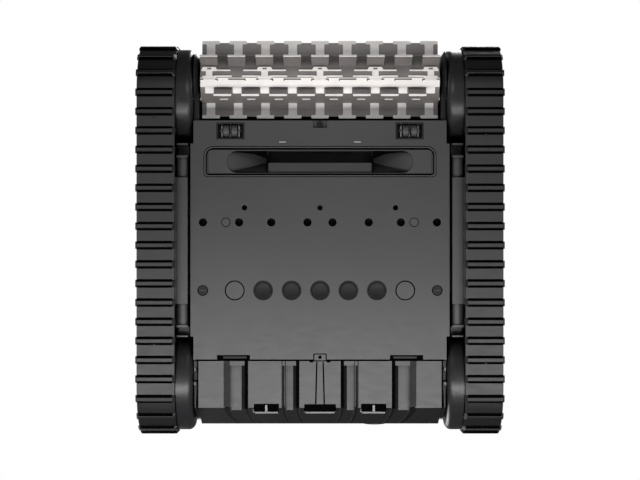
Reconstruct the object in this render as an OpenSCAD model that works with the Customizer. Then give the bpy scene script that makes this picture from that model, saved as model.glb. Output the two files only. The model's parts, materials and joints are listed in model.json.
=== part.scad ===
// Tracked robotic pool cleaner. Millimetres, +Z up, front towards -Y, origin under the middle of the cleaner.
// Parts are drawn for the +X side and mirrored for the -X side, unless their module says otherwise.

/* [Track drive] */
// Overall width over the track lugs
track_outer_w = 400; // [396:1:404]
// Width of a lug, across the track
lug_w = 43; // [40:0.5:43]
// Distance between the front and rear wheel axles
wheelbase = 321; // [319:0.5:323]
// Distance of the front axle ahead of the origin
front_axle_ahead = 158.5; // [157:0.5:160]
// Radius of the smooth inner face of the track where it wraps a wheel
belt_in_r = 49; // [48.8:0.1:49.3]
// Thickness of the track band under the lugs
belt_t = 4.5; // [4:0.1:5]
// Height of a lug above the band
lug_h = 3; // [2:0.1:3]
// Number of lugs on one track
lug_count = 46; // [40:1:50]
// Distance of the first lug behind the lowest point of the front wheel
lug_phase = 0.8; // [0:0.1:20]
// Radius of the guide disc on the inner side of each wheel
disc_r = 51.7; // [51:0.1:52]
// Radius of the wheel axles
axle_r = 7; // [6:0.1:7]

/* [Gears] */
// Module of the gear teeth
gear_m = 1.6; // [1.6:0.1:1.6]
// Teeth of the internal ring gear inside each wheel
ring_teeth = 41; // [41:1:41]
// Teeth of the motor and brush pinions
pinion_teeth = 14; // [14:1:14]
// Total play between meshing teeth
backlash = 0.3; // [0.2:0.05:0.4]

/* [Brush] */
// Length of the brush sleeve
brush_l = 262; // [250:1:263]
// Radius over the fin heads
brush_r = 43.3; // [40:0.1:43.3]
// Outer radius of the sleeve wall
sleeve_r = 26; // [24:0.5:28]
// Number of fin rows around the sleeve
fin_rows = 6; // [4:1:6]
// Fins in one row
fins_per_row = 9; // [7:1:9]
// Spacing of the fins along a row
fin_pitch = 30.3; // [28:0.1:30.3]

/* [Body] */
// Half width of the hull between the wheels
hull_hw = 138; // [136:0.5:138]
// Wall thickness of the hull and covers
wall = 3.5; // [3:0.1:4]
// Height of the underside above the floor
plate_z = 18; // [18:0.1:18.5]
// Height of the split between the hull and the top shell
split_z = 118; // [117:0.5:119]
// Height of the flat top of the shell
crown_z = 209; // [205:1:212]
// Height of the carry handle
handle_z = 240; // [236:1:245]
// Spacing of the five drain seats in the middle row
drain_pitch = 31.1; // [30:0.1:32]

/* [Hidden] */
$fn = 64;
front_y = -front_axle_ahead;
rear_y = front_y + wheelbase;
pad_r = belt_in_r + belt_t;
axle_z = pad_r + lug_h;
track_x1 = track_outer_w / 2;
track_x0 = track_x1 - lug_w;
band_x0 = track_x0 + 0.8;
band_x1 = track_x1 - 1.2;
pitch_r = belt_in_r + 0.5;
lug_end_run = 3;
lug_corner = 1.5;
lug_pitch = (2 * wheelbase + 2 * PI * pitch_r) / lug_count;
rim_r = belt_in_r - 0.3;
disc_x0 = hull_hw + 1;
disc_x1 = track_x0 - 0.5;
gear_x1 = disc_x0 + 12;
hub_r = 12;
wheel_x1 = track_x1 - 2;
rim_t = 3.5;
gear_pa = 25;
ring_r = gear_m * ring_teeth / 2;
pinion_r = gear_m * pinion_teeth / 2;
mesh_d = ring_r - pinion_r;
brush_dir = 217;
motor_dir = 120;
brush_y = front_y + mesh_d * cos(brush_dir);
brush_z = axle_z + mesh_d * sin(brush_dir);
motor_y = rear_y + mesh_d * cos(motor_dir);
motor_z = axle_z + mesh_d * sin(motor_dir);
arm_t = 4.5;
arm_x0 = hull_hw - arm_t;
arm_end_r = 31.5;
bearing_r = 11;
shaft_r = 6;
seal_r = 9;
motor_shaft_r = 4;
fit = 0.05;
fin_w = 19.5;
stem_w = 9.6;
head_h = 3.8;
fin_t = 2;
web_t = 0.8;
spine_dir = -12;
lock_dir = 12;

hull_y0 = -126;
hull_y1 = 205;
step_y = 132.5;
floor_z = plate_z + 4;
rear_floor_z = 40;
bay_x = 108.5;
bay_y0 = -106;
bay_y1 = 72;
throat_x = 57.4;
throat_y0 = -95;
throat_y1 = -82.4;
tray_z = 36;
chimney_z = 48;
plate_y0 = -128.3;
plate_y1 = 133.7;
plate_x = 141.7;
plate_end_x = 138.5;
well_row_y = -16.9;
vent_row_y = -32.8;
drain_row_y = 57.6;
drain_r = 10.8;
wells_x = [13.7, 53.3, 88.5, 128];
plug_x = 103;
roller_x = 98;
roller_y = -117;
roller_r = 6.2;
roller_z = 19;
roller_step = 4.5;
rail_x0 = 144.6;
pump_y = 124;
duct_r = 44;
impeller_r = 38;
shell_z0 = split_z + 2;
shell_x = 199;
shell_y0 = -203;
shell_y1 = 212;
button_pos = [78, 126];
lens_pos = [-78, 126];
port_x = 62;
port_z = 92;
port_face_y = 209;
hinge_z = port_z + 16;
hinge_y = port_face_y + 1.9;
port_r = 6;
port_depth = 12;
bail_y = -40;
bail_z = crown_z - 5;
bail_l = 44;
flap_z = chimney_z + 2.2;
flap_y = throat_y1 + 3.4;
mouth_x = 101.7;
mouth_y = [-95.2, -71];
front_screw_y = -124.6;
slope_y0 = 186;
slope_y1 = 209;
slope_z1 = 62;
cover_x = 133;
groove_z = plate_z + 6;
tab_screw_y = 130.6;
handle_y = [-134, -118];
basket_x = 106;
basket_y0 = -103.5;
basket_y1 = 69.5;
basket_z0 = chimney_z + 2.5;
basket_z1 = crown_z - 14;
button_r = 9;
rubber = [0.09, 0.09, 0.1];
charcoal = [0.3, 0.3, 0.31];
black = [0.12, 0.12, 0.13];
brush_grey = [0.82, 0.8, 0.78];
steel = [0.7, 0.71, 0.73];
basket_grey = [0.3, 0.31, 0.33];
screw_grey = [0.22, 0.22, 0.23];
plug_grey = [0.42, 0.42, 0.43];
motor_grey = [0.45, 0.46, 0.48];
shell_blue = [0.2, 0.22, 0.25];

// ---- helpers -------------------------------------------------------------

// A drawing of (Y, Z) pushed along X
module along_x(x0, x1) translate([x0, 0, 0]) rotate([90, 0, 90]) linear_extrude(x1 - x0) children();

// A drawing of (X, Z) pushed along Y
module along_y(y0, y1) translate([0, y1, 0]) rotate([90, 0, 0]) linear_extrude(y1 - y0) children();

// A drawing of (radius, X) spun about an axle at height z and place y
module spun(y, z) translate([0, y, z]) rotate([90, 0, 90]) rotate_extrude($fn = 96) children();

module box(x, y, z) translate([x[0], y[0], z[0]]) cube([x[1] - x[0], y[1] - y[0], z[1] - z[0]]);

module both_sides() {
    children();
    mirror([1, 0, 0]) children();
}

module rounded_rect(x, y, r) {
    translate([x[0] + r, y[0]]) square([x[1] - x[0] - 2 * r, y[1] - y[0]]);
    translate([x[0], y[0] + r]) square([x[1] - x[0], y[1] - y[0] - 2 * r]);
    for (cx = [x[0] + r, x[1] - r], cy = [y[0] + r, y[1] - r]) translate([cx, cy]) circle(r);
}

module upright(x, y, z, r) translate([x, y, z[0]]) cylinder(h = z[1] - z[0], r = r);

// A round bar along X
module rod(x, y, z, r) translate([x[0], y, z]) rotate([0, 90, 0]) cylinder(h = x[1] - x[0], r = r);

// A round bar along Y
module bar_y(x, y, z, r) translate([x, y[1], z]) rotate([90, 0, 0]) cylinder(h = y[1] - y[0], r = r);

function unit(v) = v / norm(v);
function polar(r, a) = [r * cos(a), r * sin(a)];
function turned(v, a) = [v[0] * cos(a) - v[1] * sin(a), v[0] * sin(a) + v[1] * cos(a)];
function before(p, i) = unit(p[(i + len(p) - 1) % len(p)] - p[i]);
function after(p, i) = unit(p[(i + 1) % len(p)] - p[i]);
function half_angle(p, i) = acos(before(p, i) * after(p, i)) / 2;
function bisector(p, i) = unit(before(p, i) + after(p, i));

// The convex outline p moved inwards by d
function inset(p, d) = [for (i = [0 : len(p) - 1]) p[i] + bisector(p, i) * d / sin(half_angle(p, i))];

// The outline p with corner i rounded to radius r[i] in n steps
function rounded(p, r, n = 7) = [for (i = [0 : len(p) - 1])
    let (h = half_angle(p, i), c = p[i] + bisector(p, i) * r[i] / sin(h),
        a = p[i] + before(p, i) * r[i] / tan(h) - c, b = p[i] + after(p, i) * r[i] / tan(h) - c,
        sweep = atan2(a[0] * b[1] - a[1] * b[0], a * b))
    each (r[i] == 0 ? [p[i]] : [for (k = [0 : n]) c + turned(a, sweep * k / n)])];

// ---- gears ---------------------------------------------------------------

function involute(base, r) = let (a = acos(min(1, base / r))) tan(a) * 180 / PI - a;

// Half the angle a tooth fills at radius r; grow widens it on the pitch circle
function tooth_half(teeth, r, grow) = let (p = gear_m * teeth / 2, base = p * cos(gear_pa))
    90 / teeth + grow / (2 * p) * 180 / PI + involute(base, p) - involute(base, max(r, base));

// Closed outline of a gear from root radius r0 to tip radius r1, with a tooth at angle zero
function gear_outline(teeth, r0, r1, grow, steps = 4) = [for (i = [0 : teeth - 1])
    each concat(
        [for (k = [0 : steps]) let (r = r0 + (r1 - r0) * k / steps)
            polar(r, i * 360 / teeth - tooth_half(teeth, r, grow))],
        [for (k = [steps : -1 : 0]) let (r = r0 + (r1 - r0) * k / steps)
            polar(r, i * 360 / teeth + tooth_half(teeth, r, grow))])];

module ring_gear_space()
    polygon(gear_outline(ring_teeth, ring_r - gear_m, ring_r + 1.25 * gear_m, backlash / 2));

module pinion_teeth_2d() polygon(gear_outline(pinion_teeth, pinion_r - 1.25 * gear_m, pinion_r + gear_m,
    -backlash / 2));

// ---- tracks and wheels -----------------------------------------------------

module loop_2d(r) {
    translate([front_y, axle_z]) circle(r, $fn = 96);
    translate([rear_y, axle_z]) circle(r, $fn = 96);
    translate([front_y, axle_z - r]) square([wheelbase, 2 * r]);
}

// Place at distance s along the loop, from under the front axle: [y, z, angle of the outward side]
function loop_place(s) = let (half_turn = PI * pitch_r)
    s < wheelbase ? [front_y + s, axle_z, -90] :
    s < wheelbase + half_turn ? [rear_y, axle_z, -90 + (s - wheelbase) / half_turn * 180] :
    s < 2 * wheelbase + half_turn ? [rear_y - (s - wheelbase - half_turn), axle_z, 90] :
    [front_y, axle_z, 90 + (s - 2 * wheelbase - half_turn) / half_turn * 180];

module lugs_2d(top_hw, base_hw) for (k = [0 : lug_count - 1])
    let (place = loop_place(lug_phase + k * lug_pitch))
    translate([place[0], place[1]]) rotate(place[2])
        polygon([[pad_r - 1, -base_hw], [pad_r, -base_hw], [axle_z, -top_hw], [axle_z, top_hw],
            [pad_r, base_hw], [pad_r - 1, base_hw]]);

// Cross-section of the space that holds the lugs, with sloping ends: (radius, X)
module lug_section() polygon([[belt_in_r, track_x0], [pad_r, track_x0],
    [axle_z + 0.01, track_x0 + lug_end_run], [axle_z + 0.01, track_x1 - lug_corner],
    [axle_z - lug_corner, track_x1], [belt_in_r, track_x1]]);

module lug_envelope() {
    for (y = [front_y, rear_y]) spun(y, axle_z) lug_section();
    for (s = [0, 1]) translate([0, 0, axle_z]) mirror([0, 0, s]) translate([0, rear_y, 0]) rotate([90, 0, 0])
        linear_extrude(wheelbase) mirror([1, -1, 0]) lug_section();
}

module track() color(rubber) difference() {
    union() {
        along_x(band_x0, band_x1) loop_2d(pad_r);
        intersection() {
            along_x(track_x0, track_x1) lugs_2d(1.7, 4.1);
            lug_envelope();
        }
    }
    along_x(track_x0 - 1, track_x1 + 1) loop_2d(belt_in_r);
}

// Wheel with a guide disc, a ring gear in the disc and an open rim that carries the track
module wheel(y, mesh_dir) color(black) difference() {
    union() {
        spun(y, axle_z) {
            translate([hub_r, disc_x0]) square([disc_r - 7 - hub_r, disc_x1 - disc_x0]);
            translate([hub_r, disc_x0 + 7]) square([disc_r - hub_r, disc_x1 - disc_x0 - 7]);
            translate([disc_r - 7, disc_x0 + 7]) circle(7);
            translate([axle_r + fit, gear_x1]) square([hub_r - axle_r, wheel_x1 - 6 - gear_x1]);
            translate([rim_r - rim_t, disc_x1 - 1]) square([rim_t, wheel_x1 - disc_x1 + 1]);
        }
        for (a = [0 : 60 : 300]) translate([0, y, axle_z]) rotate([a, 0, 0])
            box([disc_x1 - 1, wheel_x1 - 8], [-2.5, 2.5], [hub_r - 1, rim_r - rim_t + 1]);
    }
    translate([0, y, axle_z]) rotate([mesh_dir, 0, 0]) along_x(disc_x0 - 1, gear_x1) ring_gear_space();
    rod([disc_x0 - 1, wheel_x1 + 1], y, axle_z, axle_r + fit);
}

module wheel_axles() color(steel) for (y = [front_y, rear_y]) both_sides() {
    rod([arm_x0 - 1.5, arm_x0], y, axle_z, axle_r + 3);
    rod([arm_x0, wheel_x1 - 4], y, axle_z, axle_r);
}

module axle_caps() color(charcoal) for (y = [front_y, rear_y]) both_sides()
    rod([wheel_x1 - 4, wheel_x1 - 0.5], y, axle_z, hub_r);

module motor_pinion() color(steel) {
    translate([0, motor_y, motor_z]) rotate([motor_dir, 0, 0])
        along_x(disc_x0 + 1.5, gear_x1 - 1) pinion_teeth_2d();
    rod([arm_x0 - 16, disc_x0 + 3], motor_y, motor_z, motor_shaft_r);
}

module drive_motors() color(motor_grey) both_sides() difference() {
    union() {
        rod([66, arm_x0 - 12], motor_y, motor_z, 17);
        rod([60, 66], motor_y, motor_z, 8);
        rod([arm_x0 - 12, arm_x0 - 6], motor_y, motor_z, 11);
    }
    rod([arm_x0 - 17, arm_x0], motor_y, motor_z, motor_shaft_r + fit);
}

module shaft_seals() color(rubber) both_sides() difference() {
    rod([arm_x0, hull_hw], motor_y, motor_z, seal_r);
    rod([arm_x0 - 1, hull_hw + 1], motor_y, motor_z, motor_shaft_r + fit);
}

// ---- side frames -----------------------------------------------------------

module wheel_gaps(r) for (y = [front_y, rear_y]) translate([y, axle_z]) circle(r, $fn = 96);

// Rail between the guide discs, with a half-round block and two thin flanges towards each end, and
// shelves that guide the track
module side_frame() color(charcoal) {
    rail_x = [rail_x0, track_x0 - 0.5];
    difference() {
        union() {
            box(rail_x, [-66, 72], [14, 99]);
            box(rail_x, [-103.4, 108.4], [34, 99]);
            for (y = [-103.4, 106.8]) box(rail_x, [y, y + 1.6], [17, 40]);
            for (y = [-90, 95.2]) box(rail_x, [y, y + 2.4], [14.5, 40]);
            for (y = [[-88, -66], [72, 96]]) {
                translate([rail_x0 + 6.2, y[0], 23]) rotate([-90, 0, 0]) cylinder(h = y[1] - y[0], r = 6.2);
                box([rail_x0, rail_x0 + 12.4], y, [23, 36]);
            }
        }
        along_x(rail_x0 - 1, track_x0) wheel_gaps(disc_r + 3);
        box([rail_x0 + 3, track_x0 - 3.5], [-60, 66], [20, 90]);
    }
    for (y = [-52, 2, 58], z = [26, 84]) rod([track_x0 - 0.5, 188], y, z, 5);
    box([hull_hw, rail_x0], [-56, 62], [40, 92]);
    box([track_x0 - 0.5, 186], [-66, 72], [8.2, 11]);
    box([track_x0 - 0.5, track_x0 + 2.5], [-66, 72], [11, 16]);
    box([track_x0 - 0.5, 186], [-66, 72], [102, 104.8]);
    box([track_x0 - 0.5, track_x0 + 2.5], [-66, 72], [97, 102]);
}

module side_panel() color(charcoal) difference() {
    along_x(188, 194) difference() {
        translate([-112, 9.5]) square([228, 94]);
        wheel_gaps(rim_r + 2);
    }
    for (y = [-38, -12, 14, 40]) box([192, 195], [y, y + 16], [28, 85]);
}

// ---- underside -------------------------------------------------------------

module plate_outline() {
    translate([-plate_end_x, plate_y0]) square([2 * plate_end_x, plate_y1 - plate_y0]);
    translate([-plate_x, -103]) square([2 * plate_x, 211]);
}

module bottom_plate() color(charcoal) difference() {
    translate([0, 0, plate_z]) linear_extrude(4) plate_outline();
    translate([0, 0, plate_z - 1]) linear_extrude(6) rounded_rect([-125.1, 125.1], [-98.5, -68.1], 4.3);
    both_sides() {
        for (x = wells_x) upright(x, well_row_y, [plate_z - 1, floor_z + 1], 4.5);
        upright(plug_x, well_row_y, [plate_z - 1, floor_z + 1], 4.8);
        upright(82.6, vent_row_y, [plate_z - 1, floor_z + 1], 2.9);
        for (k = [1, 2]) upright(k * drain_pitch, drain_row_y, [plate_z - 1, floor_z + 1], drain_r);
        upright(3 * drain_pitch, drain_row_y, [plate_z - 1, floor_z + 1], drain_r - 1);
        upright(128.3, drain_row_y, [plate_z - 1, floor_z + 1], 5.9);
        box([roller_x - 15.3, roller_x + 15.3], [-126.2, -107.8], [plate_z - 1, floor_z + 1]);
        box([36.7, 45.3], [-106, -103.8], [plate_z - 1, floor_z - 2]);
        box([76.6, 112.7], [128.3, plate_y1 + 1], [plate_z - 1, floor_z + 1]);
    }
    upright(0, vent_row_y, [plate_z - 1, floor_z + 1], 2.9);
    upright(0, drain_row_y, [plate_z - 1, floor_z + 1], drain_r);
    box([-7.6, 7.6], [plate_y0 - 1, -120.3], [plate_z - 1, floor_z - 1]);
    box([-6.4, 6.4], [127.2, plate_y1 + 1], [plate_z - 1, floor_z + 1]);
}

// Mouth recess: two ramps that rise to the throat and a ledge behind it
module mouth_space() intersection() {
    along_y(mouth_y[0], mouth_y[1]) polygon([[-mouth_x, plate_z - 1], [-mouth_x, plate_z + 1.5],
        [-throat_x, 33], [throat_x, 33], [mouth_x, plate_z + 1.5], [mouth_x, plate_z - 1]]);
    translate([0, 0, plate_z - 2]) linear_extrude(20) rounded_rect([-mouth_x, mouth_x], mouth_y, 11);
}

module suction_panel() color(charcoal) difference() {
    union() {
        translate([0, 0, plate_z]) linear_extrude(3.6) rounded_rect([-124.8, 124.8], [-98.2, -68.4], 4);
        box([-104, 104], [-96.8, -69.6], [plate_z + 2, tray_z - 0.2]);
    }
    difference() {
        mouth_space();
        along_x(-110, 110) polygon([[throat_y1, 40], [throat_y1, 32], [-72.2, plate_z + 3],
            [-70, plate_z + 3], [-70, 40]]);
    }
    box([-throat_x, throat_x], [throat_y0, throat_y1], [plate_z - 1, tray_z + 1]);
    translate([0, 0, plate_z - 1]) linear_extrude(1.8) difference() {
        rounded_rect([-123, 123], [-96.9, -69.7], 3);
        rounded_rect([-122.2, 122.2], [-96.1, -70.5], 2.4);
    }
}

module inlet_flap() color(rubber) {
    box([-throat_x - 1.5, throat_x + 1.5], [throat_y0 - 1.5, flap_y - 3.2],
        [chimney_z + 0.3, chimney_z + 2.3]);
    for (x = [-50, 0, 50]) difference() {
        union() {
            rod([x - 5, x + 5], flap_y, flap_z + 0.6, 2.6);
            box([x - 5, x + 5], [flap_y - 3.4, flap_y], [chimney_z + 0.3, chimney_z + 2.3]);
        }
        rod([x - 6, x + 6], flap_y, flap_z + 0.6, 1.55);
    }
}

module flap_pin() color(steel) rod([-60.2, 60.2], flap_y, flap_z + 0.6, 1.5);

module blanking_plugs() color(plug_grey) both_sides()
    upright(plug_x, well_row_y, [plate_z + 0.2, plate_z + 4], 4.8);

module plate_screws() color(screw_grey) both_sides() {
    for (x = wells_x) difference() {
        upright(x, well_row_y, [31, 34], 4);
        box([x - 3, x + 3], [well_row_y - 0.6, well_row_y + 0.6], [30, 32]);
    }
    difference() {
        upright(128.3, drain_row_y, [plate_z + 0.4, floor_z], 5.7);
        box([122, 135], [drain_row_y - 0.9, drain_row_y + 0.9], [plate_z - 1, plate_z + 1.6]);
    }
    upright(128.3, drain_row_y, [floor_z, floor_z + 3], 3);
}

module front_screw() color(screw_grey) difference() {
    upright(0, front_screw_y, [plate_z + 1, floor_z - 1], 3.3);
    box([-2.6, 2.6], [front_screw_y - 0.5, front_screw_y + 0.5], [plate_z, plate_z + 2]);
}

module drain_plugs() color(plug_grey) both_sides()
    upright(3 * drain_pitch, drain_row_y, [plate_z + 0.2, floor_z], drain_r - 1);

// Domed rubber drain valve in a round seat
module drain_valve(x) {
    translate([x, drain_row_y, 0]) rotate_extrude() difference() {
        translate([0, plate_z + 0.6]) square([drain_r, floor_z - plate_z - 0.6]);
        translate([0, plate_z - 36]) circle(37.6, $fn = 128);
        translate([drain_r - 2.6, plate_z]) square([1.2, 1.8]);
    }
}

module drain_valves() color(rubber) for (k = [-2 : 2]) drain_valve(k * drain_pitch);

module sensor_windows() color([0.6, 0.6, 0.6]) both_sides()
    box([36.9, 45.1], [-105.8, -104], [plate_z + 0.4, floor_z - 2]);

module latch_bars() color(charcoal) both_sides()
    box([76.8, 112.5], [129.6, 133.4], [plate_z + 1, floor_z]);

// Recessed frame that holds two small rollers between three ribs
module roller_boxes() color(black) both_sides() difference() {
    box([roller_x - 15.1, roller_x + 15.1], [-126, -108], [plate_z + 0.3, 29]);
    for (k = [-1, 1]) let (x = roller_x + roller_step * k)
        box([x - 3.7, x + 3.7], [roller_y - 7.5, roller_y + 7.5], [plate_z - 1, 27.5]);
    for (k = [-1, 1]) let (x = roller_x + 11.6 * k)
        box([x - 2, x + 2], [roller_y - 7.5, roller_y + 7.5], [plate_z - 1, 26]);
    rod([roller_x - 12, roller_x + 12], roller_y, roller_z, 1.6);
}

module support_rollers() color([0.5, 0.5, 0.5]) {
    for (k = [-1, 1]) let (x = roller_x + roller_step * k)
        rod([x - 3, x + 3], roller_y, roller_z, roller_r);
    rod([roller_x - 11, roller_x + 11], roller_y, roller_z, 1.55);
}

// ---- rear cover ------------------------------------------------------------

// Groove with sloping walls, along the underside and up the rear slope
module cover_groove(x0, x1, side_run) along_y(plate_y1 + 6, 230)
    polygon([[x0, plate_z - 1], [x0 + side_run, groove_z], [x1 - side_run * 0.7, groove_z],
        [x1, plate_z - 1]]);

module rear_lower_cover() color(charcoal) difference() {
    union() {
        along_x(-cover_x, cover_x) polygon([[plate_y1 + 0.3, plate_z], [slope_y0, plate_z],
            [slope_y1, slope_z1], [slope_y1 - 4.5, slope_z1], [193.5, rear_floor_z - 0.5],
            [plate_y1 + 0.3, rear_floor_z - 0.5]]);
        box([-6.1, 6.1], [127.5, plate_y1 + 1], [plate_z, floor_z - 0.2]);
    }
    along_x(-cover_x + 4, cover_x - 4) polygon([[plate_y1 + 4, groove_z + 3], [slope_y0 - 2, groove_z + 3],
        [slope_y0 + 6, rear_floor_z], [plate_y1 + 4, rear_floor_z]]);
    both_sides() {
        cover_groove(79, 105, 7);
        cover_groove(25.5, 42.5, 4);
        box([44.8, 72.5], [181.6, 190.5], [plate_z - 1, plate_z + 5.5]);
        box([76.8, 112.5], [plate_y1, plate_y1 + 1.2], [plate_z - 1, plate_z + 2]);
    }
    box([-17.3, 17.3], [182, 190.5], [plate_z - 1, plate_z + 7]);
    upright(0, tab_screw_y, [plate_z - 1, plate_z + 2], 1.6);
    both_sides() translate([3.4, plate_y1, plate_z - 1]) rotate([0, 0, -1.4]) cube([0.9, 48, 2]);
}

// ---- hull ------------------------------------------------------------------

// Outline of the hull from the side: (Y, Z)
module hull_profile() polygon([[hull_y0, floor_z], [step_y, floor_z], [step_y, rear_floor_z],
    [192, rear_floor_z], [203, slope_z1], [hull_y1, split_z], [hull_y0, split_z]]);

// Outline of the space inside it, open at the top
module hull_space() polygon([[hull_y0 + wall, floor_z + 3], [step_y - 4, floor_z + 3],
    [step_y - 4, rear_floor_z + 3], [192 - wall * 0.9, rear_floor_z + 3], [203 - wall * 1.1, slope_z1],
    [hull_y1 - wall, split_z + 1], [hull_y0 + wall, split_z + 1]]);

module arm_2d() {
    polygon([[hull_y0 + 4, floor_z], [-160, 25], [brush_y - 6, brush_z - 16], [brush_y - 13, brush_z + 10],
        [-172, 74], [-146, 108], [hull_y0 + 4, split_z]]);
    translate([brush_y, brush_z]) circle(17);
}

module rear_bracket_2d() polygon([[134.5, plate_z + 2], [142, plate_z + 2], [144, plate_z + 5],
    [156, plate_z + 5], [158, plate_z + 2], [170, plate_z + 3], [188, 26], [200, 52], [200, 66], [134.5, 66]]);

module main_hull() color(black) difference() {
    union() {
        difference() {
            along_x(-hull_hw, hull_hw) hull_profile();
            along_x(-hull_hw + wall, hull_hw - wall) hull_space();
        }
        box([-bay_x - 3, bay_x + 3], [bay_y0 - 3, bay_y1 + 3], [floor_z + 2, split_z]);
        both_sides() along_x(arm_x0, hull_hw) {
            arm_2d();
            rear_bracket_2d();
        }
        both_sides() rod([arm_x0 - 4, arm_x0 + 1], rear_y, axle_z, 14);
        both_sides() translate([arm_x0, brush_y, brush_z]) rotate([0, 90, 0])
            cylinder(h = arm_t, r1 = arm_end_r - 7, r2 = arm_end_r);
        both_sides() upright(wells_x[3], well_row_y, [floor_z + 1, 37], 6.3);
    }
    difference() {
        box([-bay_x, bay_x], [bay_y0, bay_y1], [floor_z + 3, split_z + 1]);
        box([-109, 109], [-101, -65.5], [floor_z, tray_z + 3]);
        box([-throat_x - 3, throat_x + 3], [throat_y0 - 3, throat_y1 + 3], [tray_z, chimney_z]);
        for (x = [-60.2, -8.5, 7.5, 59.2])
            box([x, x + 1], [throat_y1 + 1.6, flap_y + 3], [tray_z, flap_z + 3]);
        both_sides() for (k = [0 : 2]) upright(wells_x[k], well_row_y, [floor_z, 37], 6.3);
    }
    box([-106, 106], [-98.5, -68], [floor_z - 1, tray_z]);
    box([-throat_x, throat_x], [throat_y0, throat_y1], [tray_z - 1, chimney_z + 1]);
    rod([-61, 61], flap_y, flap_z + 0.6, 1.5);
    both_sides() {
        for (x = wells_x) upright(x, well_row_y, [floor_z - 1, 34], 4.5);
        upright(82.6, vent_row_y, [floor_z - 1, floor_z + 4], 2.9);
        for (k = [1, 2]) upright(k * drain_pitch, drain_row_y, [floor_z - 1, floor_z + 4], 7);
        upright(128.3, drain_row_y, [floor_z - 1, floor_z + 4], 3);
        box([roller_x - 15.3, roller_x + 15.3], [-126.4, -107.8], [floor_z - 1, 29.2]);
        rod([arm_x0 - 5, hull_hw + 1], front_y, axle_z, axle_r);
        rod([arm_x0 - 5, hull_hw + 1], rear_y, axle_z, axle_r);
        rod([arm_x0 - 5, arm_x0], rear_y, axle_z, axle_r + 3);
        rod([arm_x0 - 1, hull_hw + 1], brush_y, brush_z, bearing_r);
        rod([arm_x0 - 1, hull_hw + 1], motor_y, motor_z, seal_r);
    }
    upright(0, vent_row_y, [floor_z - 1, floor_z + 4], 2.9);
    upright(0, drain_row_y, [floor_z - 1, floor_z + 4], 7);
    bar_y(port_x, [hull_y1 - 7, hull_y1 + 1], port_z, 12);
}

module hull_seal() color(rubber) difference() {
    box([-hull_hw + 0.5, hull_hw - 0.5], [hull_y0 + 0.5, hull_y1 - 0.5], [split_z, shell_z0]);
    box([-hull_hw + wall, hull_hw - wall], [hull_y0 + wall, hull_y1 - wall], [split_z - 1, shell_z0 + 1]);
}

module brush_hood() color(black) along_x(-arm_x0, arm_x0) difference() {
    translate([brush_y, brush_z]) circle(48.4, $fn = 96);
    translate([brush_y, brush_z]) circle(45.8, $fn = 96);
    translate([brush_y, brush_z])
        polygon([[0, 0], polar(80, 128), polar(120, 180), polar(120, 250), polar(120, 310), polar(80, 352)]);
}

module brush_bearings() color([0.85, 0.85, 0.83]) both_sides() difference() {
    rod([arm_x0, hull_hw], brush_y, brush_z, bearing_r);
    rod([arm_x0 - 1, hull_hw + 1], brush_y, brush_z, shaft_r + fit);
}

// ---- brush -----------------------------------------------------------------

// Fin rows around the sleeve: [angle from straight down towards the front, fins, waisted]
FIN_ROWS = [for (k = [0 : fin_rows - 1])
    [91 - 60 * k, k % 3 == 2 ? fins_per_row - 1 : fins_per_row, k % 3 == 0]];

// Outline of one row of fins: (X along the brush, distance from the brush axis). A waisted fin is a T.
module fin_row_2d(count, waisted) for (k = [0 : count - 1])
    translate([(k - (count - 1) / 2) * fin_pitch, 0]) {
        foot = waisted ? stem_w : fin_w;
        translate([-foot / 2, sleeve_r - 1.2]) square([foot, brush_r - sleeve_r - head_h + 1.3]);
        polygon([[-fin_w / 2, brush_r - head_h], [fin_w / 2, brush_r - head_h], [fin_w / 2, brush_r - 0.7],
            [fin_w / 2 - 0.6, brush_r - 0.1], [0.6 - fin_w / 2, brush_r - 0.1], [-fin_w / 2, brush_r - 0.7]]);
    }

module at_brush(angle) translate([0, brush_y, brush_z]) rotate([180 - angle, 0, 0]) children();

module fin_row(row) at_brush(row[0]) {
    translate([0, fin_t / 2, 0]) rotate([90, 0, 0]) linear_extrude(fin_t) fin_row_2d(row[1], row[2]);
    if (row[2]) box([-brush_l / 2, brush_l / 2], [-web_t / 2, web_t / 2], [sleeve_r - 1.2, brush_r - 1]);
}

// Wrapped sleeve: a tube with a flat spine and rows of fins
module brush_sleeve() color(brush_grey) difference() {
    union() {
        rod([-brush_l / 2, brush_l / 2], brush_y, brush_z, sleeve_r);
        for (row = FIN_ROWS) fin_row(row);
        at_brush(spine_dir) box([-brush_l / 2, brush_l / 2], [-5.6, 5.6], [sleeve_r - 1.5, sleeve_r + 0.8]);
    }
    rod([-brush_l / 2 - 1, brush_l / 2 + 1], brush_y, brush_z, sleeve_r - 2.2);
    at_brush(lock_dir) for (k = [-2 : 2])
        box([k * 2 * fin_pitch - 6, k * 2 * fin_pitch + 6], [-3, 3], [15, 30]);
}

module brush_core() color([0.35, 0.35, 0.36]) difference() {
    union() {
        rod([-brush_l / 2, brush_l / 2], brush_y, brush_z, sleeve_r - 2.2);
        rod([brush_l / 2, arm_x0 - 0.4], brush_y, brush_z, 10);
        rod([arm_x0 - 0.4, hull_hw - 0.4], brush_y, brush_z, shaft_r);
    }
    rod([-brush_l / 2 + 6, brush_l / 2 - 6], brush_y, brush_z, sleeve_r - 6);
    rod([-brush_l / 2 - 1, -brush_l / 2 + 7], brush_y, brush_z, shaft_r);
}

module brush_pinion() color([0.8, 0.8, 0.78]) mirror([1, 0, 0]) {
    translate([0, brush_y, brush_z]) rotate([brush_dir, 0, 0])
        along_x(disc_x0 + 1.5, gear_x1 - 1) pinion_teeth_2d();
    rod([brush_l / 2 - 5, disc_x0 + 3], brush_y, brush_z, shaft_r);
}

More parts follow.
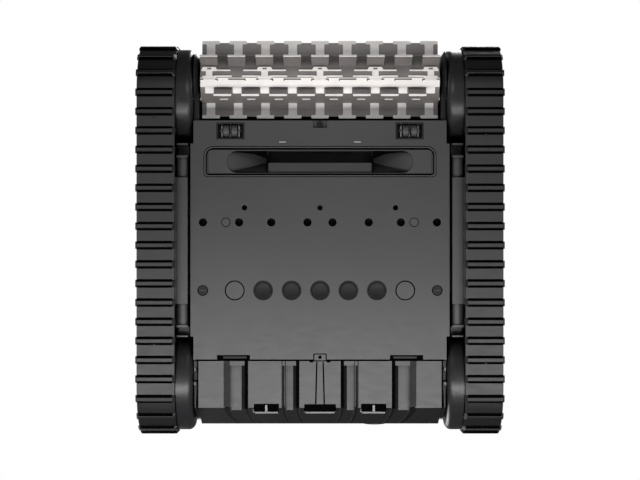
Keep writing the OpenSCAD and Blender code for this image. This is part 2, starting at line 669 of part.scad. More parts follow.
// Locking tongues that hold the wrapped sleeve closed
module brush_locks() color(brush_grey) at_brush(lock_dir) for (k = [-2 : 2]) difference() {
    box([k * 2 * fin_pitch - 5.7, k * 2 * fin_pitch + 5.7], [-2.7, 2.7], [sleeve_r - 2, sleeve_r + 2]);
    box([k * 2 * fin_pitch - 2, k * 2 * fin_pitch + 2], [-1.2, 1.2], [sleeve_r, sleeve_r + 3]);
}

// ---- top shell -------------------------------------------------------------

front_form = [[-shell_x, shell_z0], [shell_x, shell_z0], [shell_x, 146], [168, 186], [128, crown_z],
    [-128, crown_z], [-168, 186], [-shell_x, 146]];
front_radii = [0, 0, 26, 40, 34, 34, 40, 26];
side_form = [[shell_y0, shell_z0], [shell_y1, shell_z0], [shell_y1, 162], [192, crown_z], [-146, crown_z],
    [-184, 180], [shell_y0, 142]];
side_radii = [0, 0, 22, 22, 30, 40, 26];
plan_form = [[-shell_x, shell_y0], [shell_x, shell_y0], [shell_x, shell_y1], [-shell_x, shell_y1]];
plan_radii = [52, 52, 48, 48];

module body_form(d) intersection() {
    along_y(shell_y0 - 1, shell_y1 + 1)
        polygon(rounded(inset(front_form, d), [for (r = front_radii) max(0, r - d)]));
    along_x(-shell_x - 1, shell_x + 1)
        polygon(rounded(inset(side_form, d), [for (r = side_radii) max(0, r - d)]));
    translate([0, 0, shell_z0 - 1]) linear_extrude(crown_z)
        polygon(rounded(inset(plan_form, d), [for (r = plan_radii) max(0, r - d)], 10));
}

module top_shell() color(shell_blue) difference() {
    union() {
        difference() {
            body_form(0);
            body_form(3);
        }
        difference() {
            box([-bay_x - 2.8, bay_x + 2.8], [bay_y0 - 2.8, bay_y1 + 2.8], [shell_z0, crown_z - 2]);
            box([-bay_x, bay_x], [bay_y0, bay_y1], [shell_z0 - 1, crown_z]);
        }
        box([-116, 116], [-114, 79], [crown_z - 10, crown_z - 2.5]);
    }
    box([-hull_hw + wall, hull_hw - wall], [hull_y0 + wall, bay_y0 - 2.8], [shell_z0 - 1, shell_z0 + 4]);
    box([-hull_hw + wall, -bay_x - 2.8], [bay_y0 - 4, bay_y1 + 4], [shell_z0 - 1, shell_z0 + 4]);
    box([bay_x + 2.8, hull_hw - wall], [bay_y0 - 4, bay_y1 + 4], [shell_z0 - 1, shell_z0 + 4]);
    box([-bay_x, bay_x], [bay_y0, bay_y1], [shell_z0 - 1, crown_z + 1]);
    box([-hull_hw + wall, hull_hw - wall], [bay_y1 + 2.8, hull_y1 - wall], [shell_z0 - 1, shell_z0 + 4]);
    box([-112, 112], [-110, 76], [crown_z - 5, crown_z + 1]);
    box([-26, 26], [bay_y1 - 1, bay_y1 + 6], [126, 152]);
    upright(0, pump_y, [crown_z - 6, crown_z + 1], duct_r + 0.2);
    upright(button_pos[0], button_pos[1], [crown_z - 6, crown_z + 1], button_r + 0.5);
    translate([0, 0, crown_z - 6]) linear_extrude(8) rounded_rect([lens_pos[0] - 15, lens_pos[0] + 15],
        [lens_pos[1] - 3.5, lens_pos[1] + 3.5], 3.4);
    box([-hull_hw, hull_hw], [shell_y1 - 8, shell_y1 + 1], [shell_z0 - 1, shell_z0 + 8]);
}

module pump_duct() color(black) difference() {
    upright(0, pump_y, [split_z, crown_z - 6], duct_r);
    upright(0, pump_y, [shell_z0 + 2, crown_z - 5], duct_r - 3);
    upright(0, pump_y, [shell_z0 - 3, shell_z0 + 3], 9);
    box([-24, 24], [pump_y - duct_r - 1, pump_y - 20], [127, 151]);
}

module pump_motor() color(motor_grey) {
    upright(0, pump_y, [rear_floor_z + 3, 112], 22);
    upright(0, pump_y, [112, 118], 12);
    upright(0, pump_y, [118, 168], 4);
}

module impeller() color([0.75, 0.76, 0.78]) difference() {
    union() {
        upright(0, pump_y, [154, 174], 9);
        upright(0, pump_y, [154, 156.5], impeller_r);
        for (a = [0 : 60 : 300]) translate([0, pump_y, 0]) rotate([0, 0, a]) difference() {
            upright(20, 0, [156, 172], 20);
            upright(20, 0, [155, 173], 17.6);
            box([-1, 41], [0, 30], [155, 173]);
            box([30, 41], [-30, 1], [155, 173]);
            upright(0, 0, [155, 173], 8);
        }
    }
    upright(0, pump_y, [153, 169], 4.05);
}

module outlet_grille() color(black) difference() {
    upright(0, pump_y, [crown_z - 6, crown_z], duct_r - 0.3);
    difference() {
        upright(0, pump_y, [crown_z - 7, crown_z + 1], duct_r - 5);
        for (r = [12, 22, 32]) difference() {
            upright(0, pump_y, [crown_z - 6, crown_z - 1], r + 1.2);
            upright(0, pump_y, [crown_z - 7, crown_z], r - 1.2);
        }
        upright(0, pump_y, [crown_z - 6, crown_z - 1], 5);
        for (a = [0 : 45 : 315]) translate([0, pump_y, 0]) rotate([0, 0, a])
            box([0, duct_r], [-1.3, 1.3], [crown_z - 6, crown_z - 0.8]);
    }
}

module carry_handle() color(black) difference() {
    along_y(handle_y[0], handle_y[1]) difference() {
        polygon(rounded([[-96, crown_z], [96, crown_z], [84, handle_z], [-84, handle_z]], [0, 0, 16, 16], 9));
        polygon(rounded([[-76, crown_z - 1], [76, crown_z - 1], [69, handle_z - 14], [-69, handle_z - 14]],
            [0, 0, 9, 9]));
    }
    box([-50.2, 50.2], [handle_y[0] - 1, handle_y[1] + 1], [handle_z - 15, handle_z - 10.5]);
}

module handle_grip() color(rubber) difference() {
    box([-50, 50], [handle_y[0] - 0.5, handle_y[1] + 0.5], [handle_z - 15.5, handle_z - 10.5]);
    for (k = [-5 : 5]) box([k * 9 - 1.2, k * 9 + 1.2], [handle_y[0] - 1, handle_y[1] + 1],
        [handle_z - 16, handle_z - 14.3]);
}

module power_button() color([0.55, 0.57, 0.6])
    upright(button_pos[0], button_pos[1], [crown_z - 5, crown_z + 1.5], button_r);

module status_lens() color([0.75, 0.85, 0.95]) translate([0, 0, crown_z - 3]) linear_extrude(2.8)
    rounded_rect([lens_pos[0] - 14.8, lens_pos[0] + 14.8], [lens_pos[1] - 3.3, lens_pos[1] + 3.3], 3.2);

// ---- filter cartridge --------------------------------------------------------

module filter_cover() color([0.26, 0.27, 0.29]) difference() {
    union() {
        box([-111.6, 111.6], [-109.6, 75.6], [crown_z - 4.8, crown_z]);
        box([-107, 107], [-104.5, 70.5], [crown_z - 14, crown_z - 4.8]);
    }
    box([-103, 103], [-100.5, bail_y - 10], [crown_z - 15, crown_z - 4.8]);
    box([-103, 103], [36, 66.5], [crown_z - 15, crown_z - 4.8]);
    both_sides() box([52, 103], [bail_y - 8, 34], [crown_z - 15, crown_z - 4.8]);
    box([-48, 48], [bail_y - 5, bail_y + bail_l + 22], [crown_z - 10, crown_z + 1]);
    rod([-53, 53], bail_y, bail_z, 2.55);
}

module bail_handle() color(black) {
    rod([-52, 52], bail_y, bail_z, 2.5);
    for (x = [-42, 42]) box([x - 3.5, x + 3.5], [bail_y, bail_y + bail_l], [bail_z - 2.5, bail_z + 2.5]);
    box([-45.5, 45.5], [bail_y + bail_l - 5, bail_y + bail_l + 4], [bail_z - 2.5, bail_z + 2.5]);
}

module window_row(z) {
    for (k = [-2 : 2]) box([k * 40 - 16, k * 40 + 16], [basket_y0 - 1, basket_y1 + 1], z);
    for (k = [-1.5 : 1.5]) box([-basket_x - 1, basket_x + 1], [k * 40 - 34, k * 40], z);
}

// Basket: a floor with the inlet in it and four clipped-on walls with filter windows
module filter_basket() color(basket_grey) difference() {
    box([-basket_x, basket_x], [basket_y0, basket_y1], [basket_z0, basket_z0 + 3]);
    box([-throat_x - 6, throat_x + 6], [throat_y0 - 3.2, flap_y + 5], [basket_z0 - 1, basket_z0 + 4]);
}

module basket_side_walls() color(basket_grey) difference() {
    both_sides() box([basket_x - 4, basket_x], [basket_y0, basket_y1], [basket_z0 + 3, basket_z1]);
    window_row([62, 116]);
    window_row([126, 182]);
}

module basket_end_walls() color(basket_grey) difference() {
    for (y = [basket_y0, basket_y1 - 4])
        box([-basket_x + 4, basket_x - 4], [y, y + 4], [basket_z0 + 3, basket_z1]);
    window_row([62, 116]);
    window_row([126, 182]);
}

module filter_mesh() color([0.85, 0.86, 0.84]) difference() {
    box([-basket_x + 4, basket_x - 4], [basket_y0 + 4, basket_y1 - 4], [basket_z0 + 3, basket_z1 - 6]);
    box([-basket_x + 4.8, basket_x - 4.8], [basket_y0 + 4.8, basket_y1 - 4.8], [basket_z0 + 3.8, basket_z1]);
    box([-throat_x - 6, throat_x + 6], [throat_y0 - 3.2, flap_y + 5], [basket_z0 - 1, basket_z0 + 5]);
}

// ---- inner parts -------------------------------------------------------------

module battery_pack() color([0.2, 0.35, 0.6]) box([-56, 56], [150, 186], [rear_floor_z + 3, 100]);

module control_box() color([0.15, 0.4, 0.25]) box([36, 128], [82, 128], [30, 108]);

module foam_floats() color([0.9, 0.88, 0.8]) {
    box([-128, -36], [82, 128], [30, 108]);
    both_sides() box([146, 180], [-130, 140], [shell_z0 + 3.2, 160]);
}

module charge_port() color(black) difference() {
    union() {
        bar_y(port_x, [port_face_y - 14, port_face_y], port_z, 12);
        for (x = [port_x - 6.3, port_x + 6.3])
            box([x - 1.9, x + 1.9], [port_face_y - 4, hinge_y + 1.9], [port_z + 9, hinge_z + 2.5]);
    }
    bar_y(port_x, [port_face_y - port_depth, port_face_y + 1], port_z, port_r);
    rod([port_x - 9, port_x + 9], hinge_y, hinge_z, 1.55);
}

module port_cap() color(rubber) {
    difference() {
        bar_y(port_x, [port_face_y + 0.4, port_face_y + 3.4], port_z, 13);
        for (x = [port_x - 9, port_x + 9])
            box([x - 5, x + 5], [port_face_y, port_face_y + 4], [port_z + 8.6, port_z + 14]);
    }
    box([port_x - 4, port_x + 4], [port_face_y + 0.4, port_face_y + 3.4], [port_z + 10, hinge_z]);
    rod([port_x - 8, port_x + 8], hinge_y, hinge_z, 1.5);
}

bottom_plate();
suction_panel();
rear_lower_cover();
main_hull();
hull_seal();
top_shell();
brush_hood();
mirror([1, 0, 0]) side_frame();  // left_side_frame
side_frame();  // right_side_frame
mirror([1, 0, 0]) side_panel();  // left_side_panel
side_panel();  // right_side_panel
mirror([1, 0, 0]) track();  // left_track
track();  // right_track
wheel_axles();
axle_caps();
drive_motors();
shaft_seals();
battery_pack();
control_box();
pump_motor();
pump_duct();
outlet_grille();
carry_handle();
handle_grip();
foam_floats();
charge_port();
status_lens();
plate_screws();
front_screw();
blanking_plugs();
drain_plugs();
drain_valves();
brush_bearings();
roller_boxes();
sensor_windows();
latch_bars();
mirror([1, 0, 0]) wheel(front_y, brush_dir);  // left_front_wheel
mirror([1, 0, 0]) wheel(rear_y, motor_dir);  // left_rear_wheel
wheel(front_y, brush_dir);  // right_front_wheel
wheel(rear_y, motor_dir);  // right_rear_wheel
mirror([1, 0, 0]) motor_pinion();  // left_motor_pinion
motor_pinion();  // right_motor_pinion
brush_sleeve();
brush_core();
brush_pinion();
brush_locks();
inlet_flap();
flap_pin();
impeller();
filter_cover();
filter_basket();
basket_side_walls();
basket_end_walls();
filter_mesh();
bail_handle();
power_button();
port_cap();
mirror([1, 0, 0]) support_rollers();  // left_support_rollers
support_rollers();  // right_support_rollers
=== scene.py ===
"""Looks of the tracked pool cleaner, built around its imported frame.

Sizes are in mm and front is towards -Y; meshes, lights and the camera are in metres.
"""
import json
import math

import bmesh
import bpy
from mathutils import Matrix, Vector


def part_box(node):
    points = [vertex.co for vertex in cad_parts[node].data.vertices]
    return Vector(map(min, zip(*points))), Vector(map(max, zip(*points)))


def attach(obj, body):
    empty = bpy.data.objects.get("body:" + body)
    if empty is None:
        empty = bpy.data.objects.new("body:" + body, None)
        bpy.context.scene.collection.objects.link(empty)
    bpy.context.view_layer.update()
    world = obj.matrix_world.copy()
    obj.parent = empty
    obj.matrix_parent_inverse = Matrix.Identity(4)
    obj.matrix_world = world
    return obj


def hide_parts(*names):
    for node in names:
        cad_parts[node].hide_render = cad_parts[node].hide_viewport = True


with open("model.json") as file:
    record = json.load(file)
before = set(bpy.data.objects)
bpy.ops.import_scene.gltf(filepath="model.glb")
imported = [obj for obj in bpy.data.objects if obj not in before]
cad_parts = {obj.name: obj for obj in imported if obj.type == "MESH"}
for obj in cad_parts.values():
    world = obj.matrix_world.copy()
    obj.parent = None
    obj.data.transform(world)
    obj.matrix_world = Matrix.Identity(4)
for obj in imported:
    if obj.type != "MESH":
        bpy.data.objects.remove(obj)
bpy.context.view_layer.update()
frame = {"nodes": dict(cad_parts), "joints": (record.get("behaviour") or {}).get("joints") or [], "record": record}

MM = 0.001
BODY_GREY = (0.045, 0.045, 0.046)
BLACK = (0.012, 0.012, 0.013)
TRACK_BLACK = (0.027, 0.027, 0.028)
CREVICE_SHARE = 0.08  # painted shade: the share of a finish's colour that is left in narrow crevices
CREVICE_SAMPLES = 6
DUST_SHARE = 1.4
COAT_ROUGHNESS = 0.12
PATCH_SCALE, DUST_SCALE, WEAR_SCALE = 9, 260, 55  # of the noise in moulded finishes, per metre
POLISH, SCUFF, DULLNESS = 0.06, 0.10, 0.02  # how far wear moves the roughness
THREADS = 900
FOAM_CELLS = 420


# ---- places from the frame, in mm ----------------------------------------------------

def box_mm(node):
    """Lowest and highest corner of a CAD node."""
    low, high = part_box(node)
    return [v / MM for v in low], [v / MM for v in high]


def axis_mm(joint):
    """(y, z) of a joint's axis, which lies along X."""
    place = next(j["pos_m"] for j in frame["joints"] if j["name"] == joint)
    return place[1] / MM, place[2] / MM


PLATE_LOW, PLATE_HIGH = box_mm("bottom_plate")
COVER_LOW, COVER_HIGH = box_mm("rear_lower_cover")
MOUTH_LOW, MOUTH_HIGH = box_mm("suction_panel")
UNDERSIDE = PLATE_LOW[2]
SEAM_Y = PLATE_HIGH[1]  # where the rear cover starts
COVER_HALF = COVER_HIGH[0]
SLOPE_RUN = 23.0  # along y
SLOPE_EDGE = (COVER_HIGH[1] - SLOPE_RUN, COVER_LOW[2])  # (y, z) where the rear slope starts
SLOPE_END = (COVER_HIGH[1], COVER_HIGH[2])
SLOPE_LENGTH = math.dist(SLOPE_EDGE, SLOPE_END)


def above(low, high):
    """Heights measured from the flat underside."""
    return UNDERSIDE + low, UNDERSIDE + high


def on_side(side, low, high):
    """An x range on the right (side 1), or its mirror image on the left (side -1)."""
    return sorted((side * low, side * high))


LINE_Z = above(-0.12, 0.3)


# ---- node helpers ----------------------------------------------------------------

class Shader:
    """One material's node tree, with short calls for the nodes used below."""

    def __init__(self, name):
        self.material = bpy.data.materials.new(name)
        self.material.use_nodes = True
        self.nodes = self.material.node_tree.nodes
        self.links = self.material.node_tree.links
        self.bsdf = self.nodes["Principled BSDF"]
        self.coords = self.nodes.new("ShaderNodeTexCoord").outputs["Object"]

    def link(self, source, target):
        self.links.new(source, target)

    def noise(self, scale, detail=3.0, rough=0.55, stretch=None):
        node = self.nodes.new("ShaderNodeTexNoise")
        node.inputs["Scale"].default_value = scale
        node.inputs["Detail"].default_value = detail
        node.inputs["Roughness"].default_value = rough
        self.link(self.stretched(stretch), node.inputs["Vector"])
        return node.outputs["Fac"]

    def voronoi(self, scale):
        node = self.nodes.new("ShaderNodeTexVoronoi")
        node.inputs["Scale"].default_value = scale
        self.link(self.coords, node.inputs["Vector"])
        return node.outputs["Distance"]

    def wave(self, scale, axis):
        node = self.nodes.new("ShaderNodeTexWave")
        node.bands_direction = axis
        node.inputs["Scale"].default_value = scale
        self.link(self.coords, node.inputs["Vector"])
        return node.outputs["Fac"]

    def stretched(self, stretch):
        if stretch is None:
            return self.coords
        node = self.nodes.new("ShaderNodeMapping")
        node.inputs["Scale"].default_value = stretch
        self.link(self.coords, node.inputs["Vector"])
        return node.outputs["Vector"]

    def openness(self, reach):
        """0 in narrow crevices, 1 on open faces; the mask of the shade painted into crevices."""
        node = self.nodes.new("ShaderNodeAmbientOcclusion")
        node.inputs["Distance"].default_value = reach
        node.samples = CREVICE_SAMPLES
        return self.remap(node.outputs["AO"], 0.0, 1.0, 0.35, 0.85)

    def height_share(self, low, high):
        """0 below one height and 1 above the other, both in metres."""
        split = self.nodes.new("ShaderNodeSeparateXYZ")
        self.link(self.coords, split.inputs["Vector"])
        return self.remap(split.outputs["Z"], 0.0, 1.0, low, high)

    def levelness(self, low, high):
        """0 on walls and slopes, 1 on level faces."""
        split = self.nodes.new("ShaderNodeSeparateXYZ")
        self.link(self.nodes.new("ShaderNodeNewGeometry").outputs["Normal"], split.inputs["Vector"])
        size = self.nodes.new("ShaderNodeMath")
        size.operation = "ABSOLUTE"
        self.link(split.outputs["Z"], size.inputs[0])
        return self.remap(size.outputs[0], 0.0, 1.0, low, high)

    def remap(self, value, low, high, low_in=0.3, high_in=0.7):
        node = self.nodes.new("ShaderNodeMapRange")
        node.inputs["From Min"].default_value = low_in
        node.inputs["From Max"].default_value = high_in
        node.inputs["To Min"].default_value = low
        node.inputs["To Max"].default_value = high
        self.link(value, node.inputs["Value"])
        return node.outputs["Result"]

    def mix(self, factor, first, second):
        node = self.nodes.new("ShaderNodeMix")
        node.data_type = "RGBA"
        self.link(factor, node.inputs["Factor"])
        for socket, colour in ((node.inputs["A"], first), (node.inputs["B"], second)):
            if isinstance(colour, tuple):
                socket.default_value = (*colour, 1)
            else:
                self.link(colour, socket)
        return node.outputs["Result"]

    def bump(self, height, depth):
        node = self.nodes.new("ShaderNodeBump")
        node.inputs["Distance"].default_value = depth
        self.link(height, node.inputs["Height"])
        return node.outputs["Normal"]


def scaled(colour, factor):
    return tuple(min(1.0, c * factor) for c in colour)


def moulded(name, colour, rough=0.42, mottle=0.06, grain=(2600, 0.00004), scuffs=0.5, coat=0.0, metal=0.0,
            crevice_shade_reach=0.012, gloss=0.4, shade_by_height=None, shade_by_slope=None):
    """Moulded plastic or rubber: faint mottling, fine spark-eroded grain, dull scuffs, and shade painted into
    crevices.

    Painted shade by height: (low, high, share) darkens the finish to that share of its colour between two heights.
    Painted shade by slope: (low, high, share) does the same where the face turns away from level.
    """
    s = Shader(name)
    patches = s.remap(s.noise(PATCH_SCALE, 4), 0.0, 1.0)
    tone = s.mix(patches, scaled(colour, 1 - mottle), scaled(colour, 1 + mottle))
    dust = s.remap(s.noise(DUST_SCALE, 5, 0.7), 0.0, 0.2, 0.6, 0.8)
    tone = s.mix(dust, tone, scaled(colour, DUST_SHARE))
    # Painted shade, darker higher up.
    if shade_by_height:
        tone = s.mix(s.height_share(shade_by_height[0], shade_by_height[1]), tone, scaled(colour, shade_by_height[2]))
    # Painted shade on faces that turn away from level.
    if shade_by_slope:
        tone = s.mix(s.levelness(shade_by_slope[0], shade_by_slope[1]), scaled(colour, shade_by_slope[2]), tone)
    # Painted shade: narrow crevices are darkened to a share of the colour.
    if crevice_shade_reach:
        tone = s.mix(s.openness(crevice_shade_reach), scaled(colour, CREVICE_SHARE), tone)
    s.link(tone, s.bsdf.inputs["Base Color"])
    s.bsdf.inputs["Specular IOR Level"].default_value = gloss
    wear = s.noise(WEAR_SCALE, 6, 0.7, (1, 3, 1))
    s.link(s.remap(wear, rough - POLISH, rough + SCUFF * scuffs + DULLNESS), s.bsdf.inputs["Roughness"])
    s.link(s.bump(s.noise(grain[0], 2, 0.5), grain[1]), s.bsdf.inputs["Normal"])
    s.bsdf.inputs["Metallic"].default_value = metal
    s.bsdf.inputs["Coat Weight"].default_value = coat
    s.bsdf.inputs["Coat Roughness"].default_value = COAT_ROUGHNESS
    return s.material


def turned_metal(name, colour, rough=0.3):
    """Turned or ground metal with fine lines around X."""
    s = Shader(name)
    lines = s.noise(1500, 2, 0.5, (1.0, 0.04, 0.04))
    s.link(s.mix(s.remap(lines, 0, 1), scaled(colour, 0.85), colour), s.bsdf.inputs["Base Color"])
    s.link(s.remap(lines, rough - 0.08, rough + 0.1), s.bsdf.inputs["Roughness"])
    s.link(s.bump(lines, 0.00002), s.bsdf.inputs["Normal"])
    s.bsdf.inputs["Metallic"].default_value = 1.0
    return s.material


def silicone(name, colour, rough=0.38, through=0.25, mottle=0.05):
    """Soft brush rubber that lets some light through."""
    s = Shader(name)
    cloud = s.remap(s.noise(70, 4, 0.6), 0, 1)
    tone = s.mix(cloud, scaled(colour, 1 - mottle), scaled(colour, 1 + mottle))
    s.link(tone, s.bsdf.inputs["Base Color"])
    s.link(s.remap(s.noise(300, 3), rough - 0.05, rough + 0.08), s.bsdf.inputs["Roughness"])
    s.link(s.bump(s.noise(1200, 2), 0.00003), s.bsdf.inputs["Normal"])
    s.bsdf.inputs["Subsurface Weight"].default_value = through
    s.bsdf.inputs["Subsurface Radius"].default_value = (0.004, 0.0035, 0.003)
    s.bsdf.inputs["Subsurface Scale"].default_value = 0.4
    return s.material


def woven(name, colour):
    """Fine filter cloth with square threads."""
    s = Shader(name)
    across = s.wave(THREADS, "X")
    along = s.wave(THREADS, "Y")
    height = s.nodes.new("ShaderNodeMath")
    height.operation = "MAXIMUM"
    s.link(across, height.inputs[0])
    s.link(along, height.inputs[1])
    s.link(s.mix(height.outputs[0], scaled(colour, 0.45), colour), s.bsdf.inputs["Base Color"])
    s.link(s.bump(height.outputs[0], 0.0002), s.bsdf.inputs["Normal"])
    s.bsdf.inputs["Roughness"].default_value = 0.7
    return s.material


def cellular(name, colour):
    """Closed-cell foam."""
    s = Shader(name)
    cells = s.voronoi(FOAM_CELLS)
    s.link(s.mix(cells, scaled(colour, 0.7), colour), s.bsdf.inputs["Base Color"])
    s.link(s.bump(cells, 0.0005), s.bsdf.inputs["Normal"])
    s.bsdf.inputs["Roughness"].default_value = 0.85
    return s.material


def make_materials():
    """One material for every slot of the record, and the extra ones of the detailed pieces."""
    return {
        "charcoal_plastic": moulded("charcoal_plastic", BODY_GREY, 0.46),
        # The rear cover is painted darker on its slopes, as shade.
        "rear_plastic": moulded("rear_plastic", BODY_GREY, 0.46, shade_by_slope=(0.85, 0.97, 0.12)),
        # The mouth is painted darker higher up, as the shade deeper in it.
        "mouth_plastic": moulded("mouth_plastic", BODY_GREY, 0.46, shade_by_height=(0.0184, 0.029, 0.12)),
        "black_plastic": moulded("black_plastic", BLACK, 0.42, gloss=0.25),
        # Near-black for the dark joints, and for shade painted into slots, recesses, slits, holes and the mouth,
        # and on lug flanks.
        "line_black": moulded("line_black", (0.0008, 0.0008, 0.0008), 0.9, gloss=0.02, crevice_shade_reach=0),
        "line_grey": moulded("line_grey", scaled(BODY_GREY, 1.5), 0.45),
        # Light grey; on the roller ribs it is painted as their edge highlights.
        "trim_grey": moulded("trim_grey", (0.16, 0.16, 0.162), 0.4, crevice_shade_reach=0.004),
        "latch_grey": moulded("latch_grey", scaled(BODY_GREY, 0.14), 0.5, gloss=0.25, crevice_shade_reach=0.004),
        # Painted shade: the dark strips of the slope's groove ends and their edges.
        "slope_dark": moulded("slope_dark", (0.0028, 0.0026, 0.0025), 0.6, gloss=0.15, crevice_shade_reach=0),
        "slope_edge": moulded("slope_edge", (0.012, 0.012, 0.012), 0.45, crevice_shade_reach=0),
        # Painted shade on the floors of the rear cover's grooves.
        "groove_brown": moulded("groove_brown", (0.0105, 0.0088, 0.008), 0.6, gloss=0.2, crevice_shade_reach=0),
        "ledge_grey": moulded("ledge_grey", scaled(BODY_GREY, 0.66), 0.45, crevice_shade_reach=0.004),
        "wheel_plastic": moulded("wheel_plastic", (0.015, 0.015, 0.016), 0.34, grain=(2600, 0.00002)),
        "shell_plastic": moulded("shell_plastic", (0.045, 0.052, 0.065), 0.3, coat=0.5),
        "cover_plastic": moulded("cover_plastic", (0.06, 0.066, 0.076), 0.4, coat=0.2),
        "basket_plastic": moulded("basket_plastic", (0.09, 0.095, 0.1), 0.45),
        # The track is painted darker where its faces turn away from level, as shade on its rounded ends and lug
        # flanks.
        "track_rubber": moulded("track_rubber", TRACK_BLACK, 0.5, 0.08, (1800, 0.00006), 1.0,
                                crevice_shade_reach=0.004, shade_by_slope=(0.955, 0.99, 0.3)),
        "soft_rubber": moulded("soft_rubber", (0.014, 0.014, 0.015), 0.5),
        "dome_rubber": moulded("dome_rubber", (0.007, 0.007, 0.0075), 0.5, gloss=0.18, crevice_shade_reach=0),
        "brush_rubber": silicone("brush_rubber", (0.89, 0.845, 0.815)),
        # Darker copies of the brush silicone, painted as shade on the sleeve, the fin sides and the webs.
        "brush_shade": silicone("brush_shade", (0.17, 0.155, 0.15), 0.42, 0.1, 0.1),
        "brush_web": silicone("brush_web", (0.24, 0.222, 0.215), 0.42, 0.1, 0.1),
        "plug_plastic": moulded("plug_plastic", (0.05, 0.05, 0.051), 0.5),
        "screw_plastic": moulded("screw_plastic", (0.01, 0.01, 0.011), 0.5, gloss=0.2),
        "steel": turned_metal("steel", (0.6, 0.61, 0.63)),
        "motor_metal": moulded("motor_metal", (0.18, 0.185, 0.19), 0.4, metal=0.6),
        "bearing_plastic": moulded("bearing_plastic", (0.7, 0.7, 0.68), 0.45),
        "battery_film": moulded("battery_film", (0.03, 0.1, 0.3), 0.25, coat=0.4),
        "board_green": moulded("board_green", (0.02, 0.12, 0.05), 0.45),
        "foam": cellular("foam", (0.75, 0.72, 0.62)),
        "lens": moulded("lens", (0.5, 0.65, 0.8), 0.18, coat=0.6),
        "window_grey": moulded("window_grey", (0.3, 0.3, 0.31), 0.3, coat=0.3),
        "mesh_plastic": woven("mesh_plastic", (0.7, 0.71, 0.69)),
        "button_plastic": moulded("button_plastic", (0.25, 0.27, 0.3), 0.3, coat=0.3),
        "impeller_plastic": moulded("impeller_plastic", (0.5, 0.51, 0.53), 0.4),
    }


OWN_FINISH = {
    "left_front_wheel": "wheel_plastic", "right_front_wheel": "wheel_plastic",
    "left_rear_wheel": "wheel_plastic", "right_rear_wheel": "wheel_plastic",
    "drain_valves": "dome_rubber", "rear_lower_cover": "rear_plastic", "suction_panel": "mouth_plastic",
    "latch_bars": "line_black",
}
KEEP_TRIANGLES = {"rear_lower_cover", "filter_mesh", "filter_basket"}  # their holes must stay open
EDGE_ANGLE = 28  # degrees; sharper edges are rounded
FLAT_ANGLE = 0.6
WELD_DISTANCE = 0.00001
PLAIN_BEVEL = 0.3
BEVELS = {
    "left_track": 0.5, "right_track": 0.5, "bottom_plate": 0.5, "rear_lower_cover": 0.9, "top_shell": 1.2,
    "filter_cover": 1.2, "carry_handle": 2.0, "bail_handle": 1.0, "handle_grip": 0.8,
    "left_side_panel": 1.5, "right_side_panel": 1.5, "left_side_frame": 0.8, "right_side_frame": 0.8,
    "main_hull": 1.0, "brush_hood": 0.6, "suction_panel": 0.4, "roller_boxes": 0.4, "plate_screws": 0.25,
    "power_button": 1.0, "status_lens": 0.5, "port_cap": 0.8, "charge_port": 0.6,
}


def dress_cad(materials):
    """Gives every CAD node its finish and softened edges. The meshes themselves stay as packed."""
    slots = {p["node"]: p["material_slot"] for p in frame["record"]["subparts"]}
    for name, obj in frame["nodes"].items():
        finish = materials[OWN_FINISH.get(name, slots[name])]
        obj.data.materials.clear()
        obj.data.materials.append(finish)
        soften(obj, BEVELS.get(name, PLAIN_BEVEL) * MM)


def soften(obj, width):
    """Weld, rounded edges and area-weighted normals, as modifiers."""
    for polygon in obj.data.polygons:
        polygon.use_smooth = True
    weld = obj.modifiers.new("weld", "WELD")
    weld.merge_threshold = WELD_DISTANCE
    if obj.name not in KEEP_TRIANGLES:
        flat = obj.modifiers.new("flat", "DECIMATE")
        flat.decimate_type = "DISSOLVE"
        flat.angle_limit = math.radians(FLAT_ANGLE)
    bevel = obj.modifiers.new("edges", "BEVEL")
    bevel.width = width
    bevel.segments = 2
    bevel.limit_method = "ANGLE"
    bevel.angle_limit = math.radians(EDGE_ANGLE)
    bevel.harden_normals = False
    normals = obj.modifiers.new("normals", "WEIGHTED_NORMAL")
    normals.keep_sharp = False
    normals.weight = 80


# ---- mesh helpers ------------------------------------------------------------------

